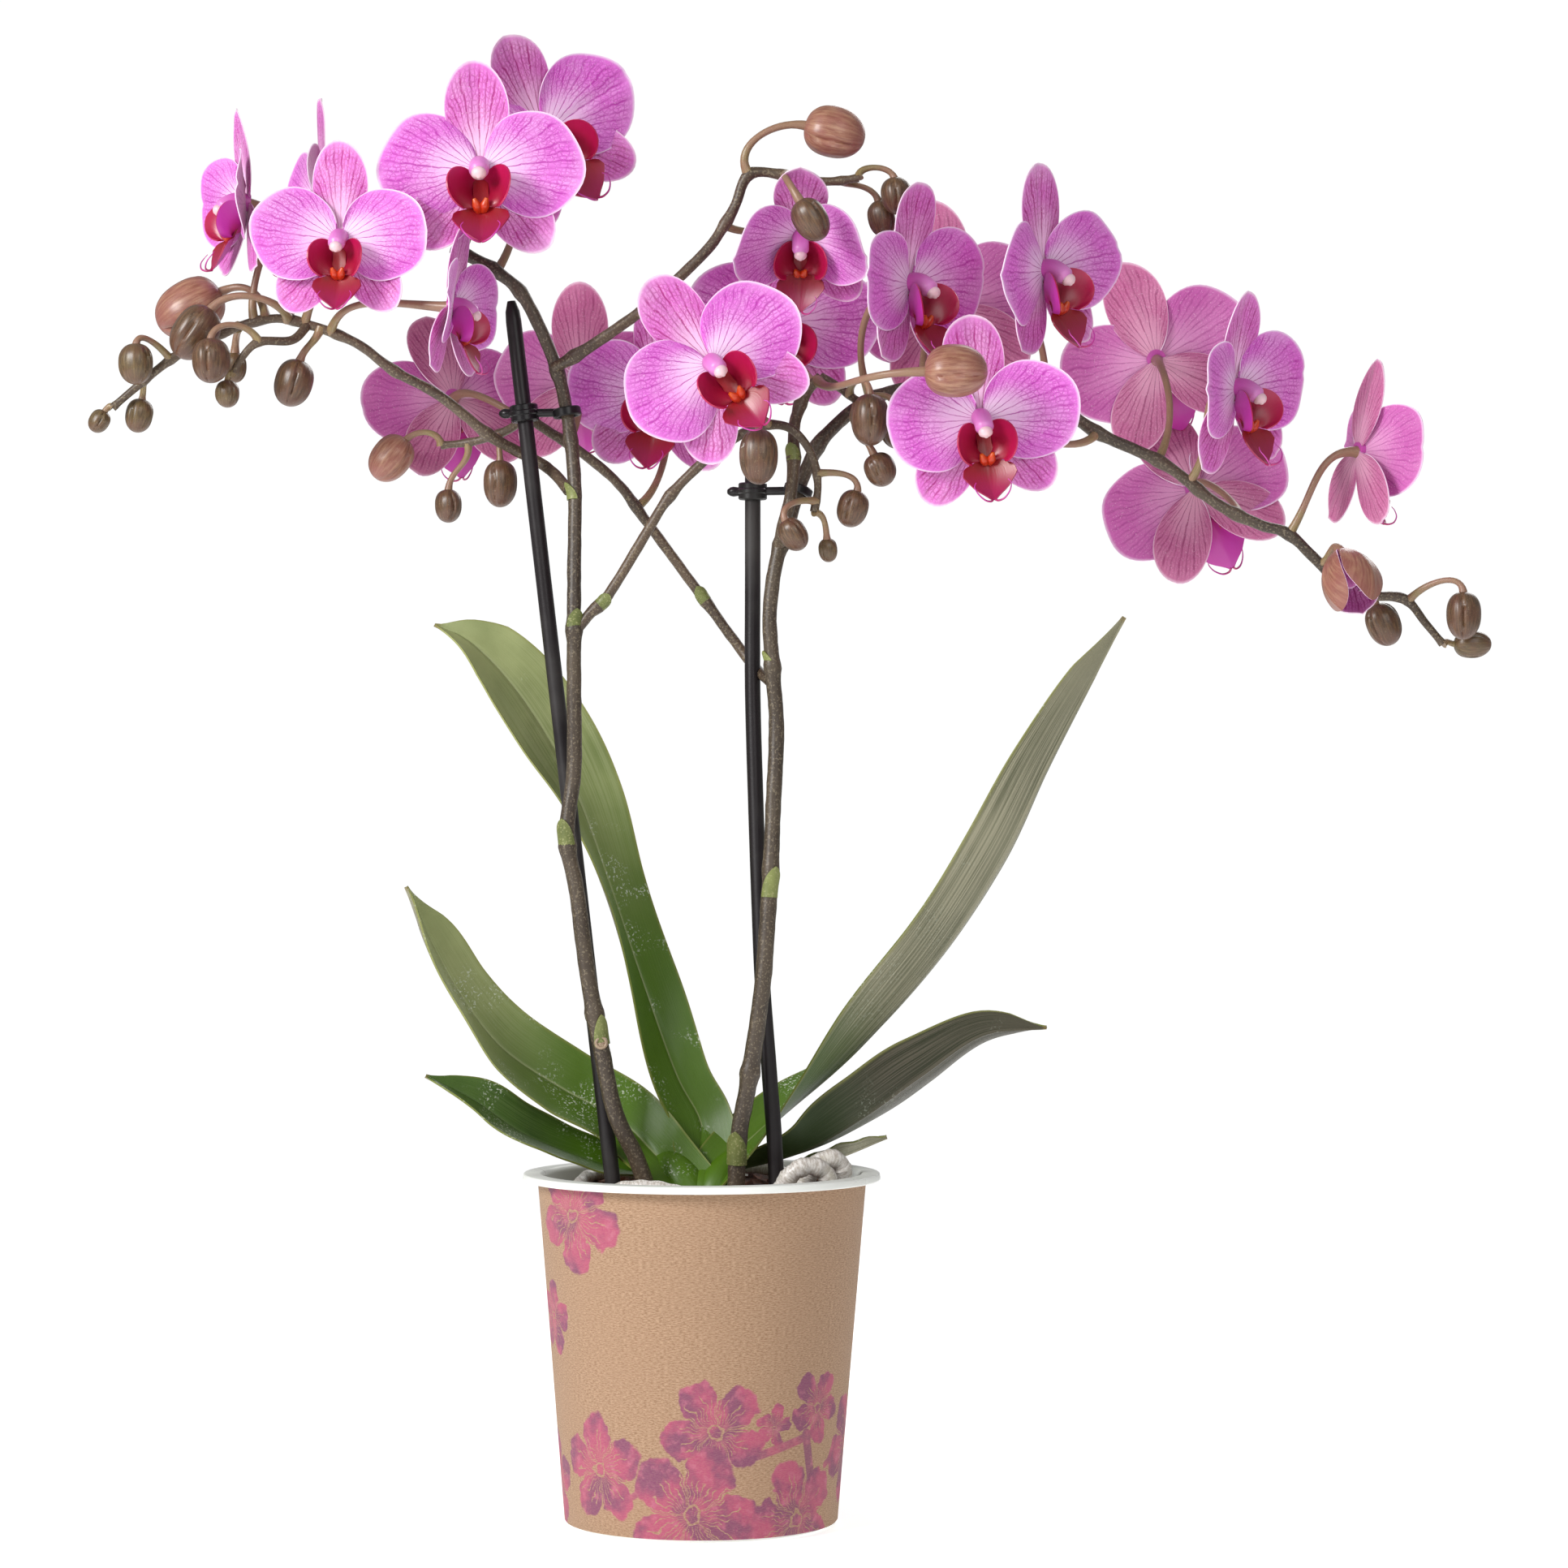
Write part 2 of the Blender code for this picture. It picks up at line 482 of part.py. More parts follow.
def facing_axes(azimuth, elevation, roll):
    """Right, up and forward of a flower that looks along azimuth and elevation, turned by roll."""
    a, e, r = (math.radians(v) for v in (azimuth, elevation, roll))
    forward = Vector((math.sin(a) * math.cos(e), -math.cos(a) * math.cos(e), math.sin(e)))
    up = (Vector((0, 0, 1)) - forward * forward.z).normalized()
    right = up.cross(forward)
    return right * math.cos(r) - up * math.sin(r), up * math.cos(r) + right * math.sin(r), forward


# one row for each tepal: angle from the top sepal, length, width, base width, bluntness, forward tilt, setback
TEPALS = [
    (0, 27, 17.5, 5, 1.0, 6, 1.3),
    (74, 30, 28, 6, 0.85, 12, -0.5),
    (-74, 30, 28, 6, 0.85, 12.7, -0.38),
    (141, 27, 16, 4, 1.0, 4, 1.5),
    (-141, 27, 16, 4, 1.0, 4.6, 1.39),
]


def radial_plate(axes, middle, angle, outline, tilt, setback, thickness):
    right, up, forward = axes
    turn = math.radians(angle)
    outward = up * math.cos(turn) + right * math.sin(turn)
    across = right * math.cos(turn) - up * math.sin(turn)
    lean = math.radians(tilt)
    along = outward * math.cos(lean) + forward * math.sin(lean)
    frame = frame_of(along, across, along.cross(across), middle - forward * setback)
    return plate_mesh(outline, thickness, frame)


def ball_mesh(middle, axis, length, width, detail=2, pointed=0.0):
    """A closed ball stretched along an axis, narrower towards its tip when pointed."""
    mesh = bpy.data.meshes.new("ball")
    work = bmesh.new()
    bmesh.ops.create_icosphere(work, subdivisions=detail, radius=1.0)
    axis = Vector(axis).normalized()
    turn = Vector((0, 0, 1)).rotation_difference(axis).to_matrix()
    for vertex in work.verts:
        slim = 1 - pointed * vertex.co.z
        shape = Vector((vertex.co.x * slim * width / 2, vertex.co.y * slim * width / 2, vertex.co.z * length / 2))
        vertex.co = (Vector(middle) + turn @ shape) * MM
    work.to_mesh(mesh)
    work.free()
    return mesh


def make_flower(name, row, stems, finish, collection):
    middle, azimuth, elevation, roll, size, stem, foot = row
    middle = Vector(middle)
    axes = facing_axes(azimuth, elevation, roll)
    right, up, forward = axes
    meshes = [ball_mesh(middle, forward, 8 * size, 9 * size, detail=1)]
    for angle, length, width, base, blunt, tilt, setback in TEPALS:
        outline = tepal_outline(length * size, width * size, base * size, blunt)
        meshes.append(radial_plate(axes, middle, angle, outline, tilt, setback, TEPAL_THICKNESS))
    lip = [(2, 2), (5, 2.2), (10, 6), (16, 1.5), (16, -1.5), (10, -6), (5, -2.2), (2, -2)]
    lip = [(x * size, y * size) for x, y in lip]
    meshes.append(radial_plate(axes, middle, 180, lip, 42, -1.0, 1.2))
    for side in (-1, 1):
        lobe = [(1.5, 1), (8, 4), (10.5, 0), (7, -3), (1.5, -1)]
        lobe = [(x * size, y * size) for x, y in lobe]
        meshes.append(radial_plate(axes, middle, side * 124, lobe, 66 + side, -1.5, 1.1))
    column = [middle, middle + forward * 7 * size - up * 1.5 * size]
    meshes.append(tube_mesh(column, [2.3 * size, 1.8 * size], 1))
    back = middle - forward * 1.5 * size
    path, radius = stems[stem]
    start, leave = foot_on(path, radius, foot, middle - forward * 14)
    meshes.append(tube_mesh(arched_path(start, leave, back, forward, 4), TWIG_RADIUS, 1))
    return fuse(name, meshes, finish, collection)


# ---- buds and sprays ---------------------------------------------------------------------
def bud_meshes(middle, tip, length, width, path, radius, foot, stalk=0.85):
    """A bud and the arched stalk that it hangs from."""
    middle, tip = Vector(middle), Vector(tip).normalized()
    base = middle - tip * (length / 2 - 1.0)
    start, leave = foot_on(path, radius, foot, base + Vector((0, 0, 6)))
    return [ball_mesh(middle, tip, length, width, 2, 0.12), tube_mesh(arched_path(start, leave, base, tip, 3), stalk, 1)]


def make_bud(name, row, stems, finish, collection):
    middle, tip, length, width, stem, foot = row
    path, radius = stems[stem]
    return fuse(name, bud_meshes(middle, tip, length, width, path, radius, foot, 1.0), finish, collection)


def make_spray(name, row, stems, finish, collection):
    stem, twig, buds = row
    path, radius = stems[stem]
    end = path[-1]
    if (Vector(twig[0]) - end).length < 16 and stem != "cross_branch_right":
        heading = (end - path[-2]).normalized()
        start = [end + heading * (GAP + 0.7)]
    else:
        start = [foot_on(path, radius, twig[0], twig[0])[0]]
    twig_path = smooth_path([*start, *twig], 9)
    meshes = [tube_mesh(twig_path, TWIG_RADIUS, 1)]
    for middle, tip, length, width, foot in buds:
        meshes += bud_meshes(middle, tip, length, width, twig_path, -1.2, foot)
    return fuse(name, meshes, finish, collection)


# ---- clips -------------------------------------------------------------------------------
def ring_mesh(outer, inner, height, middle, tilt_axis):
    """A short round sleeve about an axis, as a mesh."""
    work = bmesh.new()
    segments = 16
    rings = []
    for radius, z in ((outer, -height / 2), (outer, height / 2), (inner, height / 2), (inner, -height / 2)):
        rings.append([work.verts.new((radius * math.cos(math.tau * i / segments),
                                      radius * math.sin(math.tau * i / segments), z)) for i in range(segments)])
    for ring, following in zip(rings, rings[1:] + rings[:1]):
        for i in range(segments):
            j = (i + 1) % segments
            work.faces.new((ring[i], ring[j], following[j], following[i]))
    turn = Vector((0, 0, 1)).rotation_difference(Vector(tilt_axis)).to_matrix()
    for vertex in work.verts:
        vertex.co = (Vector(middle) + turn @ vertex.co) * MM
    mesh = bpy.data.meshes.new("ring")
    bmesh.ops.recalc_face_normals(work, faces=work.faces)
    work.to_mesh(mesh)
    work.free()
    return mesh


def point_at_height(path, height):
    """The point and heading of a rising path at a height."""
    for low, high in zip(path, path[1:]):
        if low.z <= height <= high.z:
            return low.lerp(high, (height - low.z) / (high.z - low.z)), (high - low).normalized()
    raise ValueError(f"no point at {height} mm")


def make_clip(name, stake, stem, stem_radius, height, finish, collection):
    """A stake clip: a tight collar on the stake, a bridge, and a loose loop round the spike."""
    collar_at, collar_axis = point_at_height(stake, height)
    loop_at, loop_axis = point_at_height(stem, height)
    across = (loop_at - collar_at).normalized()
    collar_outer, loop_outer = STAKE_RADIUS + GAP + 1.6, stem_radius + 2.2
    gap_start = collar_at + across * (collar_outer - 0.9)
    gap_end = loop_at - across * (loop_outer - 0.7)
    tab_start = collar_at - across * (collar_outer - 0.9)
    bridge = tube_mesh([gap_start, gap_end], 1.3, 1)
    tab = tube_mesh([tab_start, tab_start - across * 4.5], 1.4, 1)
    return fuse(name, [ring_mesh(collar_outer, STAKE_RADIUS + GAP, 5.0, collar_at, collar_axis), bridge, tab,
                       ring_mesh(loop_outer, stem_radius + 0.9, 2.6, loop_at, loop_axis)], finish, collection)


# ---- the plant ---------------------------------------------------------------------------
def taper(count, start, end):
    return [start + (end - start) * i / (count - 1) for i in range(count)]


def main():
    clear_scene()
    plant = new_collection("potted_orchid")
    helpers = new_collection("cutters")
    kraft = material("kraft_paper", (0.47, 0.31, 0.18), 0.85)
    white = material("white_plastic", (0.82, 0.83, 0.80), 0.35)
    clear = material("clear_plastic", (0.75, 0.80, 0.78), 0.12, alpha=0.4)
    bark = material("bark", (0.10, 0.05, 0.03), 0.9)
    leaf = material("leaf", (0.06, 0.16, 0.03), 0.4)
    stem_green = material("stem", (0.12, 0.11, 0.05), 0.5)
    bud_brown = material("bud", (0.24, 0.13, 0.07), 0.5)
    petal = material("petal", (0.72, 0.18, 0.62), 0.6)
    black = material("black_plastic", (0.012, 0.011, 0.012), 0.4)
    root = material("root", (0.55, 0.53, 0.50), 0.6)

    stem_rows = {
        "spike_left": (SPIKE_LEFT, SPIKE_RADIUS, 1.7),
        "left_arm": (LEFT_ARM, BRANCH_RADIUS, 1.4),
        "top_branch": (TOP_BRANCH, BRANCH_RADIUS, 1.4),
        "cross_branch_right": (CROSS_TO_RIGHT, BRANCH_RADIUS, 1.5),
        "spike_right": (SPIKE_RIGHT, SPIKE_RADIUS, 1.7),
        "cross_branch_left": (CROSS_TO_LEFT, BRANCH_RADIUS, 1.4),
        "upright_branch": (UPRIGHT, 1.9, 1.6),
    }
    stems = {}
    for name, (points, thick, thin) in stem_rows.items():
        path = smooth_path(points, 14)
        place(name, tube_mesh(path, taper(len(path), thick, thin), 2), stem_green, plant)
        stems[name] = (path, thick)

    stake_left, stake_right = smooth_path(STAKE_LEFT, 40), smooth_path(STAKE_RIGHT, 25)
    for name, path in (("stake_left", stake_left), ("stake_right", stake_right)):
        place(name, tube_mesh(path, STAKE_RADIUS, 3), black, plant)
    make_clip("clip_left", stake_left, stems["spike_left"][0], 2.1, 326, black, plant)
    make_clip("clip_right", stake_right, stems["spike_right"][0], 2.2, 303, black, plant)

    crown_height, crown_radius = 32, 12
    crown = ball_mesh((0, 3, 98), (0, 0, 1), crown_height, crown_radius, 2, 0.1)
    place("crown", crown, leaf, plant)
    for name, stations in LEAVES.items():
        make_leaf(name, stations, leaf, plant)
    for name, points in AERIAL_ROOTS.items():
        place(name, tube_mesh(smooth_path(points, 4), ROOT_RADIUS, 2), root, plant)

    for name, row in FLOWERS.items():
        make_flower(name, row, stems, petal, plant)
    for name, row in BUDS.items():
        make_bud(name, row, stems, bud_brown, plant)
    for name, row in SPRAYS.items():
        make_spray(name, row, stems, bud_brown, plant)

    make_paper_sleeve(kraft, plant)
    make_cover_pot(white, plant)
    make_nursery_pot(clear, plant, helpers)
    passages = {
        "stake_left_passage": tube_mesh(stake_left[:3], STAKE_RADIUS + GAP, 3),
        "stake_right_passage": tube_mesh(stake_right[:6], STAKE_RADIUS + GAP, 3),
        "spike_left_passage": tube_mesh([Vector((-13, -8, 91)), Vector((-19, -9, 109))], SPIKE_RADIUS + 0.8, 2),
        "spike_right_passage": tube_mesh([Vector((10, -10, 92)), Vector((11, -11, 109))], SPIKE_RADIUS + 0.6, 2),
        "crown_passage": ball_mesh((0, 3, 98), (0, 0, 1), crown_height + 1, crown_radius + 1, 2, 0.1),
    }
    make_bark(bark, plant, helpers, passages)


main()
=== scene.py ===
# %% [markdown]
# # A potted moth orchid
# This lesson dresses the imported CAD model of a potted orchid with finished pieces: a paper-sleeved pot, bark,
# strap leaves, staked flower spikes, buds and twenty open flowers. Lengths in the tables are in millimetres,
# because a plant this small reads best in them, and MM turns them into Blender's metres.

# %% Load the frame
import math

import bmesh
import bpy
import numpy as np
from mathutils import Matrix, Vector


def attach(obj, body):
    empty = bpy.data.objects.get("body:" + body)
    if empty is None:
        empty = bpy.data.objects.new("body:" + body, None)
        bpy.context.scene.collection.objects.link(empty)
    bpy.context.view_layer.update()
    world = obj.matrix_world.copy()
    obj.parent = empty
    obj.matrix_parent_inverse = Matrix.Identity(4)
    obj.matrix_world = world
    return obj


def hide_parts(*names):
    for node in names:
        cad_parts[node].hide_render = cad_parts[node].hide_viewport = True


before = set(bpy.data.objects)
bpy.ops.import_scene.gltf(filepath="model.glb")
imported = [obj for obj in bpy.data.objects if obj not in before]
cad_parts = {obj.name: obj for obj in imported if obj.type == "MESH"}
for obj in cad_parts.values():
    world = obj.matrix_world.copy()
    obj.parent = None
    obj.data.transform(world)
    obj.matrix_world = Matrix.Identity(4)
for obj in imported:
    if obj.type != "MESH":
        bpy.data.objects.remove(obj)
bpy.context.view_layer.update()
MM = 0.001

# %% [markdown]
# ## Camera, light and floor
# The plant is seen level, from the height of the middle of its leaves, through a long lens, as a catalogue
# picture is taken. A large soft light on the left models the petals, and a dim room keeps the shadows open.
# The room itself is seen white, as a lit studio wall would be, but it gives less light than it shows, or it would
# wash out the colours. A flat floor works from every side, where a curved backdrop would block the view behind.

# %% Camera, lights, floor and room
CAMERA_AT = Vector((0.0242, -1.38, 0.217))
LENS_MM = 107.8

camera_data = bpy.data.cameras.new("camera")
camera_data.lens = LENS_MM
camera_data.sensor_width = 36.0
camera = bpy.data.objects.new("camera", camera_data)
camera.location = CAMERA_AT
camera.rotation_euler = (math.radians(90), 0.0, 0.0)
bpy.context.scene.collection.objects.link(camera)
bpy.context.scene.camera = camera


def soft_light(name, place, aim, size, watts):
    """A square area light at a place, turned to shine at a point."""
    data = bpy.data.lights.new(name, "AREA")
    data.size = size
    data.energy = watts
    light = bpy.data.objects.new(name, data)
    light.location = place
    light.rotation_euler = (Vector(aim) - Vector(place)).to_track_quat("-Z", "Y").to_euler()
    bpy.context.scene.collection.objects.link(light)
    return light


soft_light("key_light", (-1.15, -1.05, 0.9), (0.0, 0.0, 0.26), 0.6, 25.0)
soft_light("fill_light", (0.5, -1.6, 0.95), (0.0, 0.0, 0.33), 0.9, 6.5)
soft_light("back_light", (0.5, 1.1, 1.0), (0.0, 0.0, 0.3), 0.8, 7.0)

room = bpy.data.worlds.new("pale_room")
room.use_nodes = True
ROOM_LIGHT, ROOM_SEEN = 0.34, 1.02
backdrop = room.node_tree.nodes["Background"]
backdrop.inputs["Color"].default_value = (1.0, 1.0, 1.0, 1.0)
ray = room.node_tree.nodes.new("ShaderNodeLightPath")
level = room.node_tree.nodes.new("ShaderNodeMapRange")
level.inputs["To Min"].default_value = ROOM_LIGHT
level.inputs["To Max"].default_value = ROOM_SEEN
room.node_tree.links.new(ray.outputs["Is Camera Ray"], level.inputs["Value"])
room.node_tree.links.new(level.outputs["Result"], backdrop.inputs["Strength"])
bpy.context.scene.world = room
bpy.context.scene.view_settings.view_transform = "Standard"

# %% [markdown]
# ## Short calls for building finishes
# A procedural finish is a tree of shader nodes. Wiring each node by hand hides the idea behind the wiring, so
# these helpers add a node, do sums, mix colours and raise a bump in one line each.


# %% Helpers for finishes
def linear(hex_code, alpha=1.0):
    """A colour given as RRGGBB, in the linear values that shaders want."""
    shares = [int(hex_code[i:i + 2], 16) / 255 for i in (0, 2, 4)]
    return (*[s / 12.92 if s <= 0.04045 else ((s + 0.055) / 1.055) ** 2.4 for s in shares], alpha)


def add(tree, kind, inputs=None, **settings):
    """A node with its settings and its inputs, each a value or the socket that feeds it."""
    node = tree.nodes.new(kind)
    for key, value in settings.items():
        setattr(node, key, value)
    for key, value in (inputs or {}).items():
        if isinstance(value, bpy.types.NodeSocket):
            tree.links.new(value, node.inputs[key])
        else:
            node.inputs[key].default_value = value
    return node


def calc(tree, operation, a, b=0.0, c=0.0, clamp=False):
    return add(tree, "ShaderNodeMath", {0: a, 1: b, 2: c}, operation=operation, use_clamp=clamp).outputs[0]


def step(tree, value, low, high, out_low=0.0, out_high=1.0):
    """A smooth step from one level to another as value passes from low to high."""
    return add(tree, "ShaderNodeMapRange", {"Value": value, "From Min": low, "From Max": high,
                                            "To Min": out_low, "To Max": out_high},
               interpolation_type="SMOOTHSTEP").outputs["Result"]


def mix(tree, share, a, b, blend="MIX"):
    return add(tree, "ShaderNodeMix", {0: share, 6: a, 7: b}, data_type="RGBA", blend_type=blend).outputs[2]


def mottle(tree, where, scale, detail=4.0, rough=0.55):
    return add(tree, "ShaderNodeTexNoise", {"Vector": where, "Scale": scale, "Detail": detail,
                                            "Roughness": rough}).outputs["Fac"]


def stretched(tree, where, scale, turn=(0.0, 0.0, 0.0)):
    return add(tree, "ShaderNodeMapping", {"Vector": where, "Scale": scale, "Rotation": turn}).outputs["Vector"]


def finish(name, roughness=0.5, **sockets):
    """A new material, its tree, its shader and its Object coordinates."""
    material = bpy.data.materials.new(name)
    material.use_nodes = True
    tree = material.node_tree
    shader = tree.nodes["Principled BSDF"]
    shader.inputs["Roughness"].default_value = roughness
    for key, value in sockets.items():
        shader.inputs[key.replace("_", " ")].default_value = value
    return material, tree, shader, add(tree, "ShaderNodeTexCoord").outputs["Object"]


def colour_with(tree, shader, colour):
    tree.links.new(colour, shader.inputs["Base Color"])


def raise_bump(tree, shader, height, strength, distance=0.0005):
    bump = add(tree, "ShaderNodeBump", {"Height": height, "Strength": strength, "Distance": distance})
    tree.links.new(bump.outputs["Normal"], shader.inputs["Normal"])


# %% [markdown]
# ## Meshes from rows of points
# Petals, leaves, lips and bracts are thin sheets, and buds, columns and stalks are closed skins. Both are
# rows of points that follow a rule, so numpy computes the rows and two helpers turn them into solids: one
# gives a sheet its two faces and its rim, the other closes a tube at both ends. A Body collects the solids
# of one piece, with their finishes and a map of where each point lies on its own petal or leaf.


# %% Sheets, skins and bodies
def signed_volume(points, faces):
    """The volume inside a closed skin: negative if its faces point inwards."""
    triangles = np.array([(face[0], face[i], face[i + 1]) for face in faces for i in range(1, len(face) - 1)])
    a, b, c = (points[triangles[:, i]] for i in range(3))
    return float(np.einsum("ij,ij->", a, np.cross(b, c)))


class Body:
    """Gathers solids into one mesh piece."""

    def __init__(self, name, materials):
        self.name, self.materials = name, materials
        self.points, self.faces, self.places, self.slots = [], [], [], []
        self.count = 0

    def add(self, points, faces, places, slot):
        """Adds a closed solid, turned right side out if its faces point inwards."""
        if signed_volume(points, faces) < 0:
            faces = [face[::-1] for face in faces]
        self.faces += [[self.count + i for i in face] for face in faces]
        self.slots += [slot] * len(faces) if isinstance(slot, int) else list(slot)
        self.points.append(points)
        self.places.append(places)
        self.count += len(points)

    def piece(self, node=None, sharp=50.0):
        points = np.concatenate(self.points) * MM
        places = np.concatenate(self.places)
        mesh = bpy.data.meshes.new(self.name)
        mesh.from_pydata(points.tolist(), [], self.faces)
        for material in self.materials:
            mesh.materials.append(material)
        mesh.polygons.foreach_set("material_index", self.slots)
        chart = mesh.uv_layers.new(name="place")
        corners = np.empty(len(mesh.loops), dtype=np.int32)
        mesh.loops.foreach_get("vertex_index", corners)
        chart.data.foreach_set("uv", places[corners].ravel())
        mesh.shade_smooth()
        mesh.set_sharp_from_angle(angle=math.radians(sharp))
        made = bpy.data.objects.new(self.name, mesh)
        bpy.context.scene.collection.objects.link(made)
        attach(made, "root")
        if node:
            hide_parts(node)
        return made


def unit(vectors):
    return vectors / np.maximum(np.linalg.norm(vectors, axis=-1, keepdims=True), 1e-9)


def sheet(grid, thickness, chart, facing, face_slot, back_slot):
    """A thin closed solid round a grid of points, its face towards facing: (points, faces, places, slots)."""
    rows, columns = grid.shape[:2]
    normal = unit(np.cross(np.gradient(grid, axis=1), np.gradient(grid, axis=0)))
    if (normal * facing).sum() < 0:
        normal = -normal
    half = (np.broadcast_to(thickness, (rows, columns)) / 2)[..., None]
    points = np.concatenate([(grid + normal * half).reshape(-1, 3), (grid - normal * half).reshape(-1, 3)])
    index = np.arange(rows * columns).reshape(rows, columns)
    a, b, c, d = index[:-1, :-1], index[:-1, 1:], index[1:, 1:], index[1:, :-1]
    front = np.stack([a, b, c, d], -1).reshape(-1, 4)
    back = front[:, ::-1] + rows * columns
    loop = np.concatenate([index[0, :-1], index[:-1, -1], index[-1, :0:-1], index[:0:-1, 0]])
    following = np.roll(loop, -1)
    rim = np.stack([following, loop, loop + rows * columns, following + rows * columns], -1)
    faces = np.concatenate([front, back, rim])
    slots = [face_slot] * len(front) + [back_slot] * len(back) + [face_slot] * len(rim)
    places = np.concatenate([chart.reshape(-1, 2)] * 2)
    return points, faces.tolist(), places, slots


def skin(rings, chart):
    """A closed skin through rings of points, each end closed by a point in its middle."""
    count, sides = rings.shape[:2]
    points = np.concatenate([rings.reshape(-1, 3), rings[0].mean(0)[None], rings[-1].mean(0)[None]])
    places = np.concatenate([chart.reshape(-1, 2), chart[0].mean(0)[None], chart[-1].mean(0)[None]])
    faces = []
    for i in range(count - 1):
        for j in range(sides):
            k = (j + 1) % sides
            faces.append([i * sides + j, i * sides + k, (i + 1) * sides + k, (i + 1) * sides + j])
    first, last = count * sides, count * sides + 1
    for j in range(sides):
        k = (j + 1) % sides
        faces.append([first, k, j])
        faces.append([last, (count - 1) * sides + j, (count - 1) * sides + k])
    return points, faces, places


def smooth_path(points, spacing):
    """Points about spacing apart along a Catmull-Rom curve through the given rows of numbers."""
    knots = np.array(points, dtype=float)
    knots = np.vstack([2 * knots[0] - knots[1], knots, 2 * knots[-1] - knots[-2]])
    path = []
    for a, b, c, d in zip(knots, knots[1:], knots[2:], knots[3:]):
        pieces = max(1, round(np.linalg.norm((c - b)[:3]) / spacing))
        for t in np.arange(pieces) / pieces:
            path.append(0.5 * (2 * b + (c - a) * t + (2 * a - 5 * b + 4 * c - d) * t * t
                               + (3 * b - a - 3 * c + d) * t ** 3))
    path.append(knots[-2])
    return np.array(path)


def frames_along(path):
    """Heading, side and lift at each point of a path, turned as little as possible on the way."""
    headings = unit(np.gradient(path, axis=0))
    side = np.cross(headings[0], (0.0, -1.0, 0.2))
    sides = []
    for heading in headings:
        side = side - heading * side.dot(heading)
        side = side / np.linalg.norm(side)
        sides.append(side)
    sides = np.array(sides)
    return headings, sides, np.cross(headings, sides)


def tube(path, radii, sides=12):
    """A closed round skin along a path, with a radius for each point."""
    headings, right, lift = frames_along(path)
    angles = np.arange(sides) / sides * math.tau
    ring = np.cos(angles)[None, :, None] * right[:, None] + np.sin(angles)[None, :, None] * lift[:, None]
    radii = np.broadcast_to(radii, len(path))
    rings = path[:, None] + ring * radii[:, None, None]
    along = np.concatenate([[0], np.cumsum(np.linalg.norm(np.diff(path, axis=0), axis=1))])
    chart = np.stack(np.broadcast_arrays(angles[None] / math.tau, along[:, None] / 10), -1)
    return skin(rings, chart)


print("sheet and skin helpers ready")

# %% [markdown]
# ## Petal finish
# A moth orchid's petal is pink-magenta, paler near its middle, with a darker net of veins that fans out from
# the claw and a thin pale edge. The net could be drawn as curves, but it would take thousands of them. Here a
# Voronoi pattern is laid in the petal's own fan-shaped map (angle across, distance outwards), so its cells
# stretch outwards and close up towards the claw, as real veins do. Sepals get bolder, redder veins.


# %% Petals, sepals, lip, column and buds
def vein_net(tree, place, count, net_share):
    """Share of darker vein at a point of the fan-shaped map: ribs that double outwards, and a net between them."""
    bend = add(tree, "ShaderNodeTexNoise", {"Vector": stretched(tree, place, (5.0, 3.5, 1.0)), "Scale": 1.0,
                                            "Detail": 3.0}).outputs["Fac"]
    apart = add(tree, "ShaderNodeSeparateXYZ", {"Vector": place})
    across = calc(tree, "MULTIPLY_ADD", bend, 0.07, apart.outputs["X"])
    veins = None
    for doubling, start in ((1, -1.0), (2, 0.28), (4, 0.55)):
        wave = calc(tree, "ABSOLUTE", calc(tree, "SINE", calc(tree, "MULTIPLY", across, math.pi * count * doubling)))
        ribs = step(tree, wave, 0.05, 0.62 if doubling > 1 else 0.38, 1.0 - 0.1 * doubling, 0.0)
        ribs = calc(tree, "MULTIPLY", ribs, step(tree, apart.outputs["Y"], start, start + 0.22))
        veins = ribs if veins is None else calc(tree, "MAXIMUM", veins, ribs)
    cells = add(tree, "ShaderNodeTexVoronoi", {"Vector": stretched(tree, place, (count * 3.6, 17.0, 1.0)), "Scale": 1.0,
                                               "Randomness": 0.9}, voronoi_dimensions="2D",
                feature="DISTANCE_TO_EDGE").outputs["Distance"]
    net = calc(tree, "MULTIPLY", step(tree, cells, 0.0, 0.22, net_share, 0.0), step(tree, apart.outputs["Y"], 0.25, 0.6))
    return calc(tree, "MAXIMUM", veins, net)


